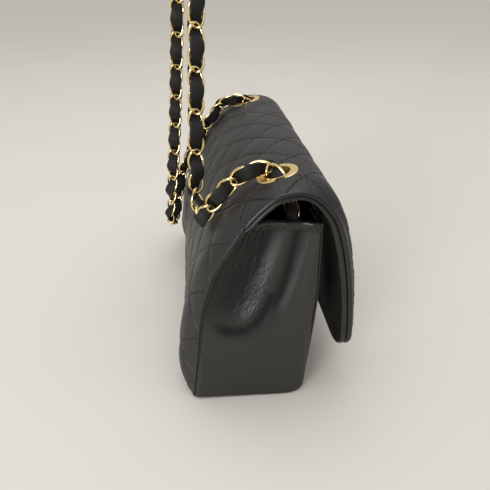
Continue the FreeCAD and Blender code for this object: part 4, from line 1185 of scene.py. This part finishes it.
def strap_joints(line):
    """Link junctions along the strap, with a whole number of links to each pivot."""
    along = stations(line)
    pivots = [along[np.argmin(np.linalg.norm(line - p, axis=1))] for p in (LEFT_PIVOT, RIGHT_PIVOT)]
    places = np.concatenate([
        np.linspace(0, pivots[0], LEFT_LINKS + 1),
        np.linspace(pivots[0], pivots[1], LOOP_LINKS + 1)[1:],
        np.linspace(pivots[1], along[-1], RIGHT_LINKS + 1)[1:]])
    return at_share(line, places / along[-1])


def turned(vector, axis, angle):
    """Vector turned about an axis."""
    return (vector * math.cos(angle) + np.cross(axis, vector) * math.sin(angle)
            + axis * (axis @ vector) * (1 - math.cos(angle)))


def end_roll(k, count):
    """Turn of the links next to the strap's two ends, fading away from them."""
    near_start, near_end = (max(0.0, 1.0 - away / ROLL_LINKS) for away in (k, count - 1 - k))
    return (math.pi / 2 - TIP_TWIST) * (near_end - near_start)


def loop_roll(k):
    """Turn of the loop's links: clear of the drops at the pivots, flat sides to the bag's ends between."""
    marks = (FIRST_LOOP_LINK, FIRST_LOOP_LINK + LEFT_TURN_LINKS, LAST_LOOP_LINK - TURN_LINKS, LAST_LOOP_LINK)
    rolls = (LEFT_PIVOT_ROLL, LEFT_STRAND_ROLL, RIGHT_STRAND_ROLL, RIGHT_PIVOT_ROLL)
    return float(np.interp(k, marks, rolls)) if marks[0] <= k <= marks[-1] else 0.0


def link_slant(k, top):
    """Slope of the tips of the loop's links, the same way on both strands as seen from an end of the bag."""
    marks = (FIRST_LOOP_LINK, FIRST_LOOP_LINK + TURN_LINKS, top - TURN_LINKS, top + TURN_LINKS,
             LAST_LOOP_LINK - TURN_LINKS, LAST_LOOP_LINK)
    return LINK_SLANT * float(np.interp(k, marks, (0, 1, 1, -1, -1, 0)))


def strap_frames(joints):
    """Direction and flat-side normal of every link, carried along without twist and then rolled."""
    directions = unit(np.diff(joints, axis=0))
    normal = unit(np.array((1.0, 0.0, 0.0)) - directions[0] * directions[0][0])
    normals = [normal]
    for before, after in zip(directions, directions[1:]):
        axis = np.cross(before, after)
        sine = np.linalg.norm(axis)
        if sine > 1e-9:
            normal = turned(normal, axis / sine, math.atan2(sine, before @ after))
        normals.append(normal)
    count = len(directions)
    rolled = [turned(normals[k], directions[k], end_roll(k, count) + loop_roll(k)) for k in range(count)]
    return directions, np.array(rolled)


def chain(joints, directions, normals, first, last, wire):
    """Points and quads of the links from one junction to another."""
    local, faces = link_mesh(wire)
    top = int(np.argmax(joints[:, 2]))
    parts = []
    for k in range(first, last):
        lateral = np.cross(normals[k], directions[k])
        turn = np.stack([directions[k], lateral + directions[k] * link_slant(k, top), normals[k]])
        parts.append((local @ turn + (joints[k] + joints[k + 1]) / 2, faces))
    return merged(parts)


def lace_path(joints, directions, normals, first, last):
    """Line of the lace over and under the junctions, its sideways direction and its crossing phase."""
    middle, lateral, over = [], [], []
    at_joint = unit(normals[:-1] + normals[1:])
    at_joint = np.vstack([normals[:1], at_joint, normals[-1:]])
    for k in range(first, last):
        side = 1.0 if k % 2 == 0 else -1.0
        for share in np.linspace(0, 1, LACE_STEPS, endpoint=False):
            if share < 0.5:
                normal = unit(at_joint[k] * (1 - 2 * share) + normals[k] * 2 * share)
            else:
                normal = unit(normals[k] * (2 - 2 * share) + at_joint[k + 1] * (2 * share - 1))
            phase = math.cos(math.pi * share)
            rise = np.sign(phase) * abs(phase) ** LACE_ROUND
            middle.append(joints[k] * (1 - share) + joints[k + 1] * share + normal * side * LACE_WAVE * rise)
            lateral.append(np.cross(normal, directions[k]))
            over.append(abs(phase))
    return np.array(middle), np.array(lateral), np.array(over)


def build_strap(sizes):
    """Chain links in three lengths and the lace in two, which meet at the top of the loop."""
    joints = strap_joints(strap_line())
    directions, normals = strap_frames(joints)
    low_left, low_right, count = LEFT_LINKS, LEFT_LINKS + LOOP_LINKS, len(directions)
    for name, body, first, last in (("left_drop", "bag_body", 0, low_left),
                                    ("loop", "strap_loop", low_left, low_right),
                                    ("right_drop", "bag_body", low_right, count)):
        links = new_piece("%s_chain" % name, *chain(joints, directions, normals, first, last, sizes.wire),
                          ("polished_gold",))
        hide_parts("%s_links" % name)
        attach(links, body)

    top = int(np.argmax(joints[:, 2]))
    halves = (("left_lace", 1, top, ("left_drop_lace", "loop_lace"), LEFT_PIVOT, ("bag_body", "strap_loop"),
               ("left_drop", "loop")),
              ("right_lace", top, count - 1, ("right_drop_lace",), RIGHT_PIVOT, ("strap_loop", "bag_body"),
               ("right_drop",)))
    for name, first, last, nodes, pivot, bodies, carried in halves:
        path, lateral, over = lace_path(joints, directions, normals, first, last)
        points, faces, uv = ribbon(path, lateral, sizes.lace_width + LACE_SPREAD * over, sizes.lace_thickness)
        lace = new_piece(name, points, faces, ("strap_lace",), uv=uv)
        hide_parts(*nodes)
        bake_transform(lace)
        spine = joints[first:last + 1]
        spine = spine if first < top else spine[::-1]


# Fittings kept from the frame
GOLD_NODES = ("left_eyelet", "right_eyelet", "left_eyelet_washer", "right_eyelet_washer", "left_anchor_ring",
              "right_anchor_ring", "lock_base", "lock_washer", "lock_knob", "flap_lock_plate",
              "flap_lock_backplate", "flap_lock_rivets")


def finish_node(name, entry):
    """Give a node of the frame another material."""
    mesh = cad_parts[name].data
    mesh.materials.clear()
    mesh.materials.append(material(entry))


# Stage
CAMERA_PLACE = (-0.32201, 0.02338, 0.20888)
CAMERA_RIGHT = (-0.09505, -0.99545, 0.00713)
CAMERA_DOWN = (-0.46333, 0.03790, -0.88538)
CAMERA_FORWARD = (0.88108, -0.08746, -0.46482)
CAMERA_LENS = 39.01
CAMERA_SENSOR = 36.0
# Lamps as (name, place, size, power, spread in degrees, height they aim at)
LAMPS = (("ceiling", (0.10, 0.10, 1.30), 1.1, 4.8, 180.0, 0.07),
         ("window", (-1.25, 0.87, 0.45), 0.6, 2.1, 62.0, 0.24))
SHADE_SIDE = (-0.97, 0.0, 0.24)
ROOM_STRENGTH = 0.85
FLOOR_REACH = 9


def room_light(colours):
    """Soft room: pale walls, a bright ceiling and a dark side behind the camera."""
    n = Nodes(bpy.data.worlds.new("soft_room"))
    toward = n.place("Generated")

    def share(axis, low, high):
        along = n.add("ShaderNodeVectorMath", {0: toward, 1: axis}, operation="DOT_PRODUCT")
        return n.step(along.outputs["Value"], low, high)

    walls = n.tint(share(SHADE_SIDE, 0.32, 0.74), colours.room, colours.shade)
    colour = n.tint(share((0.0, 0.0, 1.0), 0.45, 0.80), walls, colours.ceiling)
    return n.finish("Background", {"Color": colour, "Strength": ROOM_STRENGTH})


def build_stage(colours):
    """Floor, room, lamps and camera."""
    corners = [(x * FLOOR_REACH, y * FLOOR_REACH, 0) for x, y in ((-1, -1), (1, -1), (1, 1), (-1, 1))]
    floor = new_piece("floor", corners, [(0, 1, 2, 3)], ("floor_paint",))
    scene = bpy.context.scene
    scene.world = room_light(colours)
    for name, place, size, power, spread, aim in LAMPS:
        lamp = bpy.data.lights.new(name, "AREA")
        lamp.size = size
        lamp.energy = power
        lamp.spread = math.radians(spread)
        holder = bpy.data.objects.new(name, lamp)
        holder.location = place
        away = holder.location.copy()
        away.z -= aim
        holder.rotation_euler = away.to_track_quat("Z", "Y").to_euler()
        holder.visible_camera = False
        scene.collection.objects.link(holder)
    lens = bpy.data.cameras.new("photo_view")
    lens.lens = CAMERA_LENS
    lens.sensor_width = CAMERA_SENSOR
    lens.clip_start = 0.01
    camera = bpy.data.objects.new("photo_view", lens)
    columns = [CAMERA_RIGHT, tuple(-c for c in CAMERA_DOWN), tuple(-c for c in CAMERA_FORWARD)]
    turn = Matrix(columns).transposed().to_4x4()
    camera.matrix_world = Matrix.Translation(CAMERA_PLACE) @ turn
    scene.collection.objects.link(camera)
    scene.camera = camera
    scene.view_settings.view_transform = "Standard"


# Operators
class BAG_OT_stage(bpy.types.Operator):
    """Set the floor, the soft lights and the camera"""
    bl_idname = "bag.stage"
    bl_label = "Stage"

    def execute(self, context):
        build_stage(context.scene.bag_colours)
        return {"FINISHED"}


class BAG_OT_strap(bpy.types.Operator):
    """Hang the woven chain strap"""
    bl_idname = "bag.strap"
    bl_label = "Chain strap"

    def execute(self, context):
        build_strap(context.scene.bag_sizes)
        return {"FINISHED"}


class BAG_OT_shell(bpy.types.Operator):
    """Sew the quilted back, crown and flap"""
    bl_idname = "bag.shell"
    bl_label = "Quilted shell"

    def execute(self, context):
        build_shell(context.scene.bag_sizes)
        return {"FINISHED"}


class BAG_OT_front(bpy.types.Operator):
    """Sew the quilted front panel"""
    bl_idname = "bag.front"
    bl_label = "Front panel"

    def execute(self, context):
        build_front(context.scene.bag_sizes)
        return {"FINISHED"}


class BAG_OT_end_walls(bpy.types.Operator):
    """Sew the two end walls with their hems and piping"""
    bl_idname = "bag.end_walls"
    bl_label = "End walls"

    def execute(self, context):
        for side, name in ((-1, "left"), (1, "right")):
            build_end_wall(side, name, context.scene.bag_sizes)
            build_welt(side, name)
        return {"FINISHED"}


class BAG_OT_inside(bpy.types.Operator):
    """Fit the base, the lining, the slip pocket and the strap's tabs"""
    bl_idname = "bag.inside"
    bl_label = "Base and inside"

    def execute(self, context):
        build_base()
        build_pocket(context.scene.bag_sizes)
        for side, name in ((-1, "left"), (1, "right")):
            build_anchor_tab(side, name)
        finish_node("base_board", "stiffener_board")
        return {"FINISHED"}


class BAG_OT_fittings(bpy.types.Operator):
    """Plate the eyelets, the rings and the turn lock"""
    bl_idname = "bag.fittings"
    bl_label = "Gold fittings"

    def execute(self, context):
        for name in GOLD_NODES:
            finish_node(name, "brushed_gold" if name.endswith("eyelet") else "polished_gold")
        return {"FINISHED"}


OPERATORS = (BAG_OT_stage, BAG_OT_strap, BAG_OT_shell, BAG_OT_front, BAG_OT_end_walls, BAG_OT_inside,
             BAG_OT_fittings)


class BAG_PT_panel(bpy.types.Panel):
    """Sizes, colours and building steps of the bag"""
    bl_idname = "BAG_PT_panel"
    bl_label = "Chain shoulder bag"
    bl_space_type = "VIEW_3D"
    bl_region_type = "UI"
    bl_category = "Bag"

    def draw(self, context):
        for group in (context.scene.bag_sizes, context.scene.bag_colours):
            for name in group.__annotations__:
                self.layout.prop(group, name)
        for operator in OPERATORS:
            self.layout.operator(operator.bl_idname)


CLASSES = (BagSizes, BagColours) + OPERATORS + (BAG_PT_panel,)


def register():
    for entry in CLASSES:
        bpy.utils.register_class(entry)
    bpy.types.Scene.bag_sizes = PointerProperty(type=BagSizes)
    bpy.types.Scene.bag_colours = PointerProperty(type=BagColours)


def unregister():
    del bpy.types.Scene.bag_colours
    del bpy.types.Scene.bag_sizes
    for entry in reversed(CLASSES):
        bpy.utils.unregister_class(entry)


def main():
    """Build the bag step by step."""
    register()
    bpy.ops.bag.stage()
    bpy.ops.bag.strap()
    bpy.ops.bag.shell()
    bpy.ops.bag.front()
    bpy.ops.bag.end_walls()
    bpy.ops.bag.inside()
    bpy.ops.bag.fittings()


if __name__ == "__main__":
    main()
